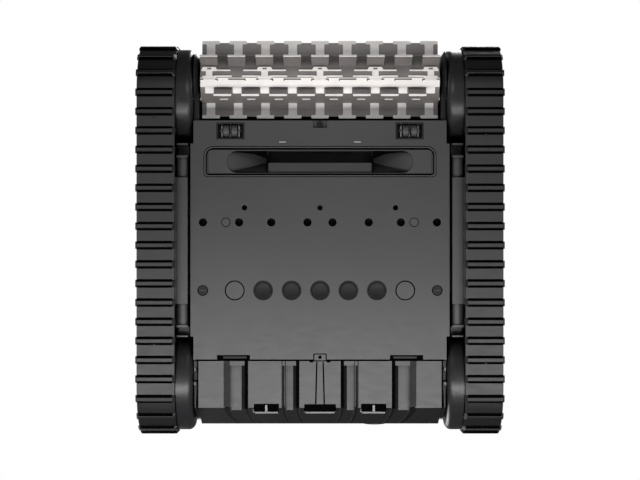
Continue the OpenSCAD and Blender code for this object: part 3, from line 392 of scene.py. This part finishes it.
class Piece:
    """A mesh made of prisms, each with its own material index."""

    def __init__(self, name, finishes):
        self.name = name
        self.finishes = finishes
        self.bm = bmesh.new()

    def prism(self, outline, place, low, high, finish=0):
        """Pushes the outline [(u, v), ...] from low to high; place(u, v, w) gives a point in mm."""
        rings = [[self.bm.verts.new(Vector(place(u, v, w)) * MM) for u, v in outline] for w in (low, high)]
        count = len(outline)
        faces = [self.bm.faces.new(list(reversed(rings[0]))), self.bm.faces.new(rings[1])]
        for i in range(count):
            j = (i + 1) % count
            faces.append(self.bm.faces.new((rings[0][i], rings[0][j], rings[1][j], rings[1][i])))
        for face in faces:
            face.material_index = finish
            face.smooth = True

    def band(self, outer, inner, z, finish=0):
        """A flat closed band between two outlines of the same number of (x, y) points."""
        self.ring([[self.bm.verts.new(Vector((x, y, h)) * MM) for x, y in line]
                   for line, h in ((outer, z[0]), (inner, z[0]), (inner, z[1]), (outer, z[1]))], finish)

    def ring(self, loops, finish):
        """Joins closed loops of equally many vertices, the last one to the first."""
        for first, second in zip(loops, loops[1:] + loops[:1]):
            for k in range(len(first)):
                n = (k + 1) % len(first)
                face = self.bm.faces.new((first[k], first[n], second[n], second[k]))
                face.material_index = finish
                face.smooth = True

    def block(self, u, v, w, place, finish=0):
        """A box between the (low, high) pairs u, v and w."""
        self.prism([(u[0], v[0]), (u[1], v[0]), (u[1], v[1]), (u[0], v[1])], place, w[0], w[1], finish)

    def build(self, bevel, rides):
        """Makes the object with edges of that bevel in mm, on its body and in its material slot."""
        bmesh.ops.recalc_face_normals(self.bm, faces=self.bm.faces)
        mesh = bpy.data.meshes.new(self.name)
        self.bm.to_mesh(mesh)
        self.bm.free()
        obj = bpy.data.objects.new(self.name, mesh)
        bpy.context.scene.collection.objects.link(obj)
        for finish in self.finishes:
            mesh.materials.append(finish)
        if bevel:
            edges = obj.modifiers.new("edges", "BEVEL")
            edges.width = bevel * MM
            edges.segments = 2
            edges.limit_method = "ANGLE"
            normals = obj.modifiers.new("normals", "WEIGHTED_NORMAL")
            normals.keep_sharp = False
        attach(obj, rides)
        return obj


def upright_place(u, v, w):
    """Outline in x and y, pushed along z."""
    return (u, v, w)


def arc(centre, radius, start, end, steps=8):
    """Points from one angle to another, in degrees."""
    return [(centre[0] + radius * math.cos(math.radians(start + (end - start) * k / steps)),
             centre[1] + radius * math.sin(math.radians(start + (end - start) * k / steps)))
            for k in range(steps + 1)]


def rounded_rect(x, y, r_front, r_rear):
    """Outline with one corner radius at the front (low y) and another at the rear."""
    return (arc((x[0] + r_front, y[0] + r_front), r_front, 180, 270)
            + arc((x[1] - r_front, y[0] + r_front), r_front, 270, 360)
            + arc((x[1] - r_rear, y[1] - r_rear), r_rear, 0, 90)
            + arc((x[0] + r_rear, y[1] - r_rear), r_rear, 90, 180))


def circle(centre, radius, steps=40):
    return arc(centre, radius, 0, 360 * (1 - 1 / steps), steps - 1)


# ---- underside details -------------------------------------------------------------

PANEL_FRAMES = (  # room round the panel (sides, front, rear), corner radii (front, rear), width, finish
    ((2.6, 2.2, 2.0), (10.5, 4.5), 0.8, 0),
    ((1.7, 1.3, 1.1), (9.6, 3.6), 1.0, 1),
    ((0.3, 0.0, -0.1), (8.4, 3.0), 1.4, 0),
)
DRAIN_PLUG_R, BLANKING_PLUG_R, LARGE_SCREW_R = 9.8, 4.8, 5.7
TAB_HALF = 7.4
LATCH_SLOT_X, MIDDLE_SLOT_HALF = (45.4, 72.6), 17.6
SLOT_Z = above(2.2, 8)
LATCH_BAR_X = (80.2, 106.0)
COVER_GROOVES = (  # inner x, outer x, end measured from the rear slope, finish
    (98.6, 105.4, -1, 0), (78.6, 82.4, 1, 1), (37.4, 38.5, 0, 0), (41.0, 42.1, 0, 0), (22.6, 26.2, 0, 1),
)
MOUTH_CORNERS = (  # (x, distance behind the panel's front edge) of the shade painted black in the front and rear corners
    ((98, 4.6), (90, 3.3), (57.5, 3.1), (57.5, 11.7), (72, 6.6), (86, 4.9)),
    ((98, 25.6), (88, 27.0), (57.5, 27.1), (57.5, 26.2), (86, 25.6)),
)
SLOPE_GROOVES = ((105, 99, 13), (82, 79, 9), (41.5, 38.5, 6), (26, 23.4, 6))  # outer x, inner x, lean
SLOPE_STEPS = 8
ROLLER_RIBS = (88.6, 97.9, 107.2)
BRACKET_YS = ((142.0, 146.0), (157.5, 161.5))


def behind(edge, low, high):
    """A y range measured from an edge towards the rear."""
    return edge + low, edge + high


def rounded_frame(piece, x, y, radii, width, z, finish):
    """Narrow rounded band of that width inside the rectangle."""
    inner = [max(r - width, 0.2) for r in radii]
    piece.band(rounded_rect(x, y, *radii),
               rounded_rect((x[0] + width, x[1] - width), (y[0] + width, y[1] - width), *inner), z, finish)


def outer_disc(node, radius):
    """(x, y) of the disc of that radius that ends a node on the right."""
    low, high = box_mm(node)
    return high[0] - radius, (low[1] + high[1]) / 2


def large_screw():
    """(x, y) of the right large screw, which lies in the row of the drain plugs."""
    return outer_disc("plate_screws", LARGE_SCREW_R)[0], outer_disc("drain_plugs", DRAIN_PLUG_R)[1]


def ring_gaskets(piece, side):
    """Rings round the drain plug, the blanking plug and the large screw of one side."""
    drain, blanking = outer_disc("drain_plugs", DRAIN_PLUG_R), outer_disc("blanking_plugs", BLANKING_PLUG_R)
    for (x, y), radius, width in ((drain, DRAIN_PLUG_R + 1.1, 1.1), (blanking, BLANKING_PLUG_R + 0.3, 0.7),
                                  (large_screw(), LARGE_SCREW_R + 0.2, 0.7)):
        centre = (side * x, y)
        piece.band(circle(centre, radius), circle(centre, radius - width), LINE_Z, 0)


def seam_lines(piece, side):
    """Rear seam with its shoulder, the tab's stem, the cover's side joint and the latch slot."""
    top = behind(SEAM_Y, -0.6, 1.2)
    piece.block(on_side(side, TAB_HALF - 0.2, COVER_HALF + 3.4), top, LINE_Z, upright_place)
    piece.block(on_side(side, TAB_HALF - 0.2, 11.5), behind(SEAM_Y, 0.7, 2.7), LINE_Z, upright_place)
    start, end = SEAM_Y + 2.3, SLOPE_EDGE[0] - 4
    stem = [(side * 2.7, start), (side * 4.0, start), (side * 5.4, end), (side * 3.9, end)]
    piece.prism(stem, upright_place, *LINE_Z)
    joint = (SEAM_Y + 0.3, SLOPE_EDGE[0] + 1)
    piece.block(on_side(side, COVER_HALF, COVER_HALF + 1.6), joint, LINE_Z, upright_place)
    # The latch slot is filled with black, painted as the shade inside it.
    slot = rounded_rect(on_side(side, *LATCH_SLOT_X), behind(SLOPE_EDGE[0], -5, 4.6), 3.4, 0.6)
    piece.prism(slot, upright_place, *SLOT_Z)


def build_joint_lines(materials):
    """Dark gaskets in the joints round the suction panel, the plugs, the rear tab and the rear seam, and black
    painted as the shade in the rear slots.
    """
    piece = Piece("joint_gaskets", [materials["line_black"], materials["line_grey"]])
    for (sides, front, rear), radii, width, finish in PANEL_FRAMES:
        rounded_frame(piece, (MOUTH_LOW[0] - sides, MOUTH_HIGH[0] + sides),
                      (MOUTH_LOW[1] - front, MOUTH_HIGH[1] + rear), radii, width, LINE_Z, finish)
    for side in (-1, 1):
        ring_gaskets(piece, side)
    tab_y = (COVER_LOW[1] - 0.9, SEAM_Y + 1.5)
    rounded_frame(piece, (-TAB_HALF, TAB_HALF), tab_y, (1.2, 1.2), 1.1, LINE_Z, 0)
    for side in (-1, 1):
        seam_lines(piece, side)
    # The middle slot is filled with black, painted as the shade inside it.
    slot_y = behind(SLOPE_EDGE[0], -4.6, 4.6)
    middle_slot = rounded_rect((-MIDDLE_SLOT_HALF, MIDDLE_SLOT_HALF), slot_y, 2.4, 0.6)
    piece.prism(middle_slot, upright_place, *SLOT_Z)
    piece.prism(circle((0, SEAM_Y - 3.1), 1.9, 20), upright_place, LINE_Z[0] - 0.05, LINE_Z[1])
    return piece.build(0.08, "chassis")


def build_cover_grooves(materials):
    """Dark floors of the long grooves of the rear cover, and the mouth's dark corners and side walls, all painted
    shade.
    """
    piece = Piece("cover_grooves", [materials["groove_brown"], materials["line_black"]])
    front = MOUTH_LOW[1]
    for side in (-1, 1):
        for inner, outer, end, finish in COVER_GROOVES:
            y = (SEAM_Y + 0.9, SLOPE_EDGE[0] + end)
            piece.block(on_side(side, inner, outer), y, LINE_Z, upright_place, finish)
        for corner in MOUTH_CORNERS:
            outline = [(side * x, front + back) for x, back in corner]
            piece.prism(outline, upright_place, *above(0.3, 0.8), 1)
        # Black along the mouth's side wall, painted as its shade.
        piece.block(on_side(side, 56.8, 58.6), behind(front, 8.2, 26.8), above(0.6, 1.2), upright_place, 1)
    return piece.build(0.08, "chassis")


def on_slope(x, along, out):
    """Maps (x, distance down the rear slope, distance off it) to the cleaner's millimetres."""
    rise, run = SLOPE_END[1] - SLOPE_EDGE[1], SLOPE_END[0] - SLOPE_EDGE[0]
    y = SLOPE_EDGE[0] + (run * along + rise * out) / SLOPE_LENGTH
    z = SLOPE_EDGE[1] + (rise * along - run * out) / SLOPE_LENGTH
    return x, y, z


def build_slope_grooves(materials):
    """Groove ends that bend inwards as they run out over the rear slope, drawn as dark strips painted as the shade
    in them.
    """
    piece = Piece("slope_grooves", [materials["slope_dark"], materials["slope_edge"]])
    length, inner_bend, rim = SLOPE_LENGTH - 1, 0.8, 1.3
    steps = [k / SLOPE_STEPS for k in range(SLOPE_STEPS + 1)]
    for side in (-1, 1):
        for outer, inner, lean in SLOPE_GROOVES:
            bend = [lean * t * t for t in steps]
            outside = [(side * (outer - b), length * t) for t, b in zip(steps, bend)]
            inside = [(side * (inner - b * inner_bend), length * t) for t, b in zip(steps, bend)]
            edge = [(side * (inner - rim - b * inner_bend), length * t) for t, b in zip(steps, bend)]
            piece.prism(outside + inside[::-1], on_slope, -0.3, 0.12, 0)
            piece.prism(inside + edge[::-1], on_slope, -0.3, 0.14, 1)
    return piece.build(0.05, "chassis")


# Finishes of the plate trims; the black one is painted as shade in the latch recesses.
LEDGE, TRIM, TRIM_BLACK, LATCH = 0, 1, 2, 3


def latch_trims(piece, side):
    """Black in the recess of one latch bar, painted as its shade, and the bar's face in it."""
    (_, front, _), (outer, rear, _) = box_mm("latch_bars")
    recess_x, recess_y = on_side(side, 76.7, outer + 0.1), (front - 1.2, rear + 0.2)
    piece.block(recess_x, recess_y, above(0.3, 3.4), upright_place, TRIM_BLACK)
    bar_y = (front + 0.1, rear - 1.3)
    piece.block(on_side(side, *LATCH_BAR_X), bar_y, above(0.1, 2.4), upright_place, LATCH)


def bracket_trims(piece, side):
    """Light brackets between the rear cover and the wheel."""
    inner = COVER_HALF + 3.2
    for y in BRACKET_YS:
        piece.block(on_side(side, inner, inner + 1.7), y, above(1.5, 3), upright_place, TRIM)
    long_y = (BRACKET_YS[1][1] + 3.5, SLOPE_EDGE[0])
    piece.block(on_side(side, inner, inner + 1.2), long_y, above(2.5, 9), upright_place, LEDGE)


def build_plate_trims(materials):
    """Lighter small parts of the underside: screw bars, latch strips, roller ribs and slot lips; the roller ribs'
    light grey is a painted highlight.
    """
    piece = Piece("plate_trims", [materials["ledge_grey"], materials["trim_grey"], materials["line_black"],
                                  materials["latch_grey"]])
    screw_x, screw_y = large_screw()
    roller_y = axis_mm("left_support_roller_spin")[0]
    for side in (-1, 1):
        x = side * screw_x
        piece.block((x - 3.8, x + 3.8), behind(screw_y, -0.7, 0.5), above(0.1, 0.9), upright_place, LEDGE)
        latch_trims(piece, side)
        bracket_trims(piece, side)
        # The roller ribs are painted light grey, as the highlights on their edges.
        for rib in ROLLER_RIBS:
            x = side * rib
            piece.block((x - 0.8, x + 0.8), behind(roller_y, -5.2, 6.2), above(0, 1.4), upright_place, TRIM)
        slot_lip(piece, on_side(side, LATCH_SLOT_X[0] + 0.8, LATCH_SLOT_X[1] - 1), True)
    slot_lip(piece, (2 - MIDDLE_SLOT_HALF, MIDDLE_SLOT_HALF - 2), False)
    ledge_y = (MOUTH_LOW[1] + 16, MOUTH_HIGH[1] - 4)
    piece.block((-57.2, 57.2), ledge_y, above(2.6, 3.6), upright_place, LEDGE)
    return piece.build(0.25, "chassis")


def slot_lip(piece, x, divided):
    """Light ledge under a rear slot, turned up at its ends, and the slot's divider."""
    edge = SLOPE_EDGE[0]
    turned_up, end_z = behind(edge, 1.2, 5.4), above(3.5, 12)
    piece.block(x, behind(edge, 3.9, 6.9), above(5.5, 13), upright_place, TRIM)
    piece.block((x[0] - 2.0, x[0] + 0.4), turned_up, end_z, upright_place, TRIM)
    if divided:
        middle = (x[0] + x[1]) / 2
        piece.block((middle - 1.3, middle + 1.3), behind(edge, -3, 4.2), above(0.4, 3), upright_place, TRIM)
    else:
        piece.block((x[1] - 0.4, x[1] + 2.0), turned_up, end_z, upright_place, TRIM)


# ---- tracks ------------------------------------------------------------------------

FRONT_AXLE_Y, AXLE_Z = axis_mm("left_front_wheel_spin")
REAR_AXLE_Y = axis_mm("left_rear_wheel_spin")[0]
LUG_COUNT, LUG_PHASE, LUG_PITCH_R = 46, 0.8, 49.5
BAND_R, LUG_R = 53.5, 56.5
LUG_HALF_TOP, LUG_HALF_FOOT = 1.55, 4.7
TRACK_INNER, TRACK_OUTER = box_mm("right_track")[0][0], box_mm("right_track")[1][0]
NUBS = ((-179.6, -131.5), (-179.6, 114.5), (179.6, -111.5), (179.6, 136.0))
NUB_STEPS = ((1.7, 2.4, 3.1), (1.2, 1.8, 2.5), (0.7, 1.4, 1.9))  # radius, low and high z


def loop_frame(distance):
    """(y, z, outward angle in degrees) of a lug at that distance along the belt loop."""
    run, turn = REAR_AXLE_Y - FRONT_AXLE_Y, math.pi * LUG_PITCH_R
    if distance < run:
        return FRONT_AXLE_Y + distance, AXLE_Z, -90
    if distance < run + turn:
        return REAR_AXLE_Y, AXLE_Z, -90 + (distance - run) / turn * 180
    if distance < 2 * run + turn:
        return REAR_AXLE_Y - (distance - run - turn), AXLE_Z, 90
    return FRONT_AXLE_Y, AXLE_Z, 90 + (distance - 2 * run - turn) / turn * 180


def build_lug_flank_shade(materials, side, name):
    """Black strips on both flanks of every lug, painted as the shade on them."""
    piece = Piece(name, [materials["line_black"]])
    pitch = (2 * (REAR_AXLE_Y - FRONT_AXLE_Y) + 2 * math.pi * LUG_PITCH_R) / LUG_COUNT
    low, high = side * (TRACK_INNER + 3.4), side * (TRACK_OUTER - 2)
    for k in range(LUG_COUNT):
        y, z, turn = loop_frame(LUG_PHASE + k * pitch)
        a = math.radians(turn)
        outward, along = (math.cos(a), math.sin(a)), (-math.sin(a), math.cos(a))

        def place(t, r, x):
            return (x, y + outward[0] * r + along[0] * t, z + outward[1] * r + along[1] * t)
        for hand in (-1, 1):
            flank = [(hand * LUG_HALF_TOP, LUG_R - 0.03), (hand * LUG_HALF_FOOT, BAND_R + 0.12),
                     (hand * LUG_HALF_FOOT, BAND_R - 0.3), (hand * LUG_HALF_TOP, LUG_R - 0.6)]
            piece.prism(flank, place, low, high)
    return piece.build(0, "chassis")


def build_track_nubs(materials):
    """Small moulding nubs on the band."""
    piece = Piece("track_nubs", [materials["track_rubber"]])
    for centre in NUBS:
        for radius, low, high in NUB_STEPS:
            piece.prism(circle(centre, radius, 14), upright_place, low, high)
    return piece.build(0.2, "chassis")


# ---- brush -------------------------------------------------------------------------

BRUSH_AXIS = axis_mm("brush_spin")
BRUSH_HALF = box_mm("brush_sleeve")[1][0]
FIN_PITCH = 30.3
SLEEVE_R = 26.0
SLEEVE_WALL = 2.1
FIN_R = 43.3
FIN_WIDTH = 19.5
FIN_TOP = FIN_R - 0.15
FIN_FOOT = SLEEVE_R - 1
STEM_WIDTH, HEAD_HEIGHT = 9.6, 3.8
SPINE_R = 26.8
TUBE_STEPS = 96
TEE_ROWS = (91, -89)  # degrees from straight down towards the front
PLATE_ROWS = ((31, 9), (151, 8), (-29, 8), (-149, 9))  # (degrees, fins)
SPINE_ANGLE, LOCK_ANGLE, RIB_ANGLE, VENT_ANGLE = -13, 12, -60, 38
TEE_COUNT = 9
LOCK_HALF = 8.6
LOCKS = range(-2, 3)  # on every second fin, counted from the middle
HOOKED_LEFT = 3  # from this slit on, the hook is at the left end, before it at the right
HOOKED_TWICE = 4  # the middle slit has both
# Brush finishes: the silicone's own colour, its darker copies painted as shade, and black painted as the shade in
# slits and holes.
BRIGHT, SHADE, WEB, DARK = 0, 1, 2, 3

# Bars on the sleeve: half width, range along the wrap, depth from the sleeve's surface, finish.
SPINE_BARS = (
    (4.8, (-12.0, -4.6), (-5, 0.2), BRIGHT),  # tongue
    (9.5, (5.35, 5.95), (-3, -0.6), WEB),  # joined edge
)
LOCK_BARS = (
    (3.6, (-5.5, 3.0), (-1, 1.6), BRIGHT),  # tongue
    (7.4, (-6.4, -4.4), (-1, 1.5), BRIGHT),  # cross bar
    (6.4, (-9.2, -7.4), (-2, 1.2), BRIGHT),  # catch
    (2.3, (2.6, 4.6), (1.4, 2.05), SHADE),  # window, painted as shade
)
JOINT_BARS = (
    (8.2, (1.4, 2.7), (-1, 1.4), BRIGHT),
    (9.6, (-5.3, -3.9), (-1, 1.2), BRIGHT),
)


def at_brush(angle):
    """Maps (x, along the wrap, distance from the axis) at an angle from straight down towards the front."""
    a = math.radians(angle)
    outward = (-math.sin(a), -math.cos(a))
    across = (-math.cos(a), math.sin(a))
    y0, z0 = BRUSH_AXIS

    def place(x, t, r):
        return (x, y0 + across[0] * t + outward[0] * r, z0 + across[1] * t + outward[1] * r)
    return place


def flat_on(angle):
    """The same place with the outline drawn in (x, r) and pushed along t."""
    place = at_brush(angle)
    return lambda x, r, t: place(x, t, r)


def row_places(count):
    """The x of each fin of an evenly spaced row."""
    return [(k - (count - 1) / 2) * FIN_PITCH for k in range(count)]


def clipped(x, half):
    """The x range of that half width round x, cut off at the brush's ends."""
    return max(x - half, -BRUSH_HALF), min(x + half, BRUSH_HALF)


def bars(piece, place, x, table):
    """The bars of a table, round x."""
    for half, along, (low, high), finish in table:
        piece.block(clipped(x, half), along, (SLEEVE_R + low, SLEEVE_R + high), place, finish)


def tube(piece, r_out, r_in, finish):
    """Hollow cylinder along X around the brush axis."""
    y0, z0 = BRUSH_AXIS
    loops = []
    for x, r in ((-BRUSH_HALF, r_in), (-BRUSH_HALF, r_out), (BRUSH_HALF, r_out), (BRUSH_HALF, r_in)):
        loops.append([piece.bm.verts.new(Vector((x, y0 + r * math.cos(a), z0 + r * math.sin(a))) * MM)
                      for a in (2 * math.pi * k / TUBE_STEPS for k in range(TUBE_STEPS))])
    piece.ring(loops, finish)


def tee_outline(x):
    """A waisted fin with cut corners: (x, distance from the axis)."""
    neck, cut, corner = FIN_R - HEAD_HEIGHT, 0.8, 0.6
    low, high = clipped(x, FIN_WIDTH / 2)
    left, right = x - STEM_WIDTH / 2, x + STEM_WIDTH / 2
    return [(left, FIN_FOOT), (right, FIN_FOOT), (right, neck - cut), (right + cut, neck),
            (high, neck), (high, FIN_TOP - cut), (high - corner, FIN_TOP), (low + corner, FIN_TOP),
            (low, FIN_TOP - cut), (low, neck), (left - cut, neck), (left, neck - cut)]


def plate_outline(x):
    """A straight fin, a little narrower at its foot, with cut corners."""
    taper, cut, corner = 0.5, 1.0, 0.7
    low, high = clipped(x, FIN_WIDTH / 2)
    return [(low + taper, FIN_FOOT), (high - taper, FIN_FOOT), (high, FIN_TOP - cut),
            (high - corner, FIN_TOP), (low + corner, FIN_TOP), (low, FIN_TOP - cut)]


def tee_row(piece, angle):
    """T-shaped fins joined by a thin web, painted darker as shade, with darker blocks painted as shade between the
    stems at their foot.
    """
    place = flat_on(angle)
    for x in row_places(TEE_COUNT):
        piece.prism(tee_outline(x), place, -1.1, 1.1, BRIGHT)
    piece.block((-BRUSH_HALF, BRUSH_HALF), (FIN_FOOT, FIN_R - 2.2), (-0.4, 0.4), place, WEB)
    for x in row_places(TEE_COUNT + 1):
        piece.block(clipped(x, 10.4), (FIN_FOOT, SLEEVE_R + 4.2), (-0.7, 0.7), place, SHADE)


def plate_row(piece, angle, count):
    """Flat fins with sides painted dark as shade and a bright tip."""
    place = flat_on(angle)
    for x in row_places(count):
        piece.prism(plate_outline(x), place, -1.0, 1.0, SHADE)
        piece.block(clipped(x, 9.6), (FIN_R - 1.2, FIN_R - 0.1), (-1.15, 1.15), place, BRIGHT)


def brush_spine(piece):
    """Flat band where the sleeve's ends meet, with tongues and joined edges."""
    place = at_brush(SPINE_ANGLE)
    piece.block((-BRUSH_HALF, BRUSH_HALF), (-4.8, 5.4), (SLEEVE_R - 2, SPINE_R + 0.4), place, BRIGHT)
    for x in row_places(TEE_COUNT):
        bars(piece, place, x, SPINE_BARS)


def spine_slits(piece):
    """Thin hooked slits along the front half of the spine, drawn as black marks painted as the shade in them."""
    place = at_brush(SPINE_ANGLE)
    depth, hook = (SPINE_R + 0.2, SPINE_R + 0.7), 0.9
    for k, x in enumerate(row_places(TEE_COUNT)):
        low, high = clipped(x, 9.5)
        piece.block((low, high), (3.2, 4.5), depth, place, DARK)
        starts = [low] if k >= HOOKED_LEFT else [high - hook]
        if k == HOOKED_TWICE:
            starts = [low, high - hook]
        for start in starts:
            piece.block((start, start + hook), (1.9, 3.6), depth, place, DARK)


def sleeve_ribs(piece):
    """Short bright ribs low on the sleeve, and the vent holes above the locks, drawn black as the shade in them.
    """
    sunk = SLEEVE_R - 0.5
    for x in row_places(TEE_COUNT - 1):
        piece.block((x - 4.5, x + 4.5), (-0.5, 0.6), (sunk, SLEEVE_R + 1.1), at_brush(RIB_ANGLE), BRIGHT)
    for k in (-3, -1, 1, 3):
        vent = circle((k * FIN_PITCH * 0.98, 0), 1.6, 16)
        piece.prism(vent, at_brush(VENT_ANGLE), sunk, SLEEVE_R + 0.25, DARK)


def brush_lock(piece, x):
    """Tongue, window and flanges of one lock that closes the sleeve."""
    place = at_brush(LOCK_ANGLE)
    low, high = clipped(x, LOCK_HALF)
    flange = [(low, 1.2), (high, 1.2), (high, 2.4), (high - 1.6, 5.6), (low + 1.6, 5.6), (low, 2.4)]
    piece.prism(flange, place, SLEEVE_R - 1, SLEEVE_R + 1.9, BRIGHT)
    bars(piece, place, x, LOCK_BARS)


def brush_joints(piece):
    """Bright ribs between the locks."""
    for x in row_places(TEE_COUNT - 1):
        bars(piece, at_brush(LOCK_ANGLE), x, JOINT_BARS)


def build_brush(materials):
    """The moulded sleeve with its fins, spine and locks, in place of the plain CAD sleeve."""
    finishes = [materials[name] for name in ("brush_rubber", "brush_shade", "brush_web", "line_black")]
    piece = Piece("brush_sleeve_moulded", finishes)
    # The sleeve takes the darker copy of the silicone, painted as shade.
    tube(piece, SLEEVE_R, SLEEVE_R - SLEEVE_WALL, SHADE)
    for angle in TEE_ROWS:
        tee_row(piece, angle)
    for angle, count in PLATE_ROWS:
        plate_row(piece, angle, count)
    brush_spine(piece)
    spine_slits(piece)
    sleeve_ribs(piece)
    brush_joints(piece)
    for k in LOCKS:
        brush_lock(piece, k * 2 * FIN_PITCH)
    obj = piece.build(0.22, "brush")
    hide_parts("brush_sleeve", "brush_locks")
    return obj


# ---- studio, in metres ---------------------------------------------------------------

LIGHTS = (  # name, position, target, width and depth, watts
    ("key_below", (0, 0.25, -0.46), (0, 0.28, 0), (1.0, 0.16), 5.3),
    ("fill_below", (0, -0.3, -1.7), (0, 0, 0), (1.6, 1.6), 1.7),
    ("brush_below", (0, -0.21, -0.14), (0, -0.155, 0), (0.26, 0.05), 0.115),
    ("side_left", (-1.3, 0.2, -0.2), (0, 0, 0.05), (0.5, 1.0), 1.5),
    ("side_right", (1.3, 0.2, -0.2), (0, 0, 0.05), (0.5, 1.0), 1.5),
    ("key_above", (0.7, -1.0, 1.7), (0, 0, 0.1), (1.2, 1.2), 55),
    ("fill_above", (-1.2, 0.9, 1.3), (0, 0, 0.1), (1.4, 1.4), 28),
)
WORLD_LIGHT = 0.12
FLOOR_HALF = 3.0
FLOOR_GREYS = ((0.86, 0.86, 0.855), (0.9, 0.9, 0.9))
CAMERA_PLACE = (0, 0.0024, -1.5)
CAMERA_LENS, CAMERA_SENSOR = 78.05, 36
CAMERA_NEAR = 0.05


def add_light(name, position, target, size, watts):
    data = bpy.data.lights.new(name, "AREA")
    data.shape = "RECTANGLE"
    data.size, data.size_y = size
    data.energy = watts
    obj = bpy.data.objects.new(name, data)
    obj.location = position
    obj.rotation_euler = (Vector(target) - Vector(position)).to_track_quat("-Z", "Y").to_euler()
    obj.visible_camera = False
    bpy.context.scene.collection.objects.link(obj)


def light_studio():
    """Soft light from below for the underside, and from above for the other views."""
    for light in LIGHTS:
        add_light(*light)


def white_world():
    """White to the camera, dimmer as a light."""
    world = bpy.data.worlds.new("studio")
    bpy.context.scene.world = world
    world.use_nodes = True
    nodes, links = world.node_tree.nodes, world.node_tree.links
    back = nodes["Background"]
    back.inputs["Color"].default_value = (1, 1, 1, 1)
    path = nodes.new("ShaderNodeLightPath")
    strength = nodes.new("ShaderNodeMapRange")
    strength.inputs["To Min"].default_value = WORLD_LIGHT
    strength.inputs["To Max"].default_value = 1.0
    links.new(path.outputs["Is Camera Ray"], strength.inputs["Value"])
    links.new(strength.outputs["Result"], back.inputs["Strength"])


def build_floor():
    """Pale floor that shows from above only, so that the view from below sees the underside."""
    mesh = bpy.data.meshes.new("floor")
    half = FLOOR_HALF
    corners = [(-half, -half, 0), (half, -half, 0), (half, half, 0), (-half, half, 0)]
    mesh.from_pydata(corners, [], [(0, 1, 2, 3)])
    floor = bpy.data.objects.new("floor", mesh)
    bpy.context.scene.collection.objects.link(floor)
    s = Shader("floor_paint")
    s.link(s.mix(s.remap(s.noise(3, 3), 0, 1), *FLOOR_GREYS), s.bsdf.inputs["Base Color"])
    s.bsdf.inputs["Roughness"].default_value = 0.8
    clear = s.nodes.new("ShaderNodeBsdfTransparent")
    side = s.nodes.new("ShaderNodeNewGeometry")
    choose = s.nodes.new("ShaderNodeMixShader")
    s.link(side.outputs["Backfacing"], choose.inputs["Fac"])
    s.link(s.bsdf.outputs["BSDF"], choose.inputs[1])
    s.link(clear.outputs["BSDF"], choose.inputs[2])
    s.link(choose.outputs["Shader"], s.nodes["Material Output"].inputs["Surface"])
    mesh.materials.append(s.material)
    floor.visible_diffuse = False
    floor.visible_glossy = False
    floor.visible_transmission = False
    floor.visible_shadow = False


def place_camera():
    """Straight below the cleaner, looking up."""
    data = bpy.data.cameras.new("camera")
    data.lens = CAMERA_LENS
    data.sensor_width = CAMERA_SENSOR
    data.clip_start = CAMERA_NEAR
    camera = bpy.data.objects.new("camera", data)
    camera.location = CAMERA_PLACE
    camera.rotation_euler = (math.pi, 0, 0)
    bpy.context.scene.collection.objects.link(camera)
    bpy.context.scene.camera = camera


def main():
    bpy.context.scene.view_settings.view_transform = "Standard"
    materials = make_materials()
    dress_cad(materials)
    build_brush(materials)
    build_joint_lines(materials)
    build_cover_grooves(materials)
    build_slope_grooves(materials)
    build_plate_trims(materials)
    build_lug_flank_shade(materials, -1, "left_lug_flank_shade")
    build_lug_flank_shade(materials, 1, "right_lug_flank_shade")
    build_track_nubs(materials)
    place_camera()
    light_studio()
    white_world()
    build_floor()


main()
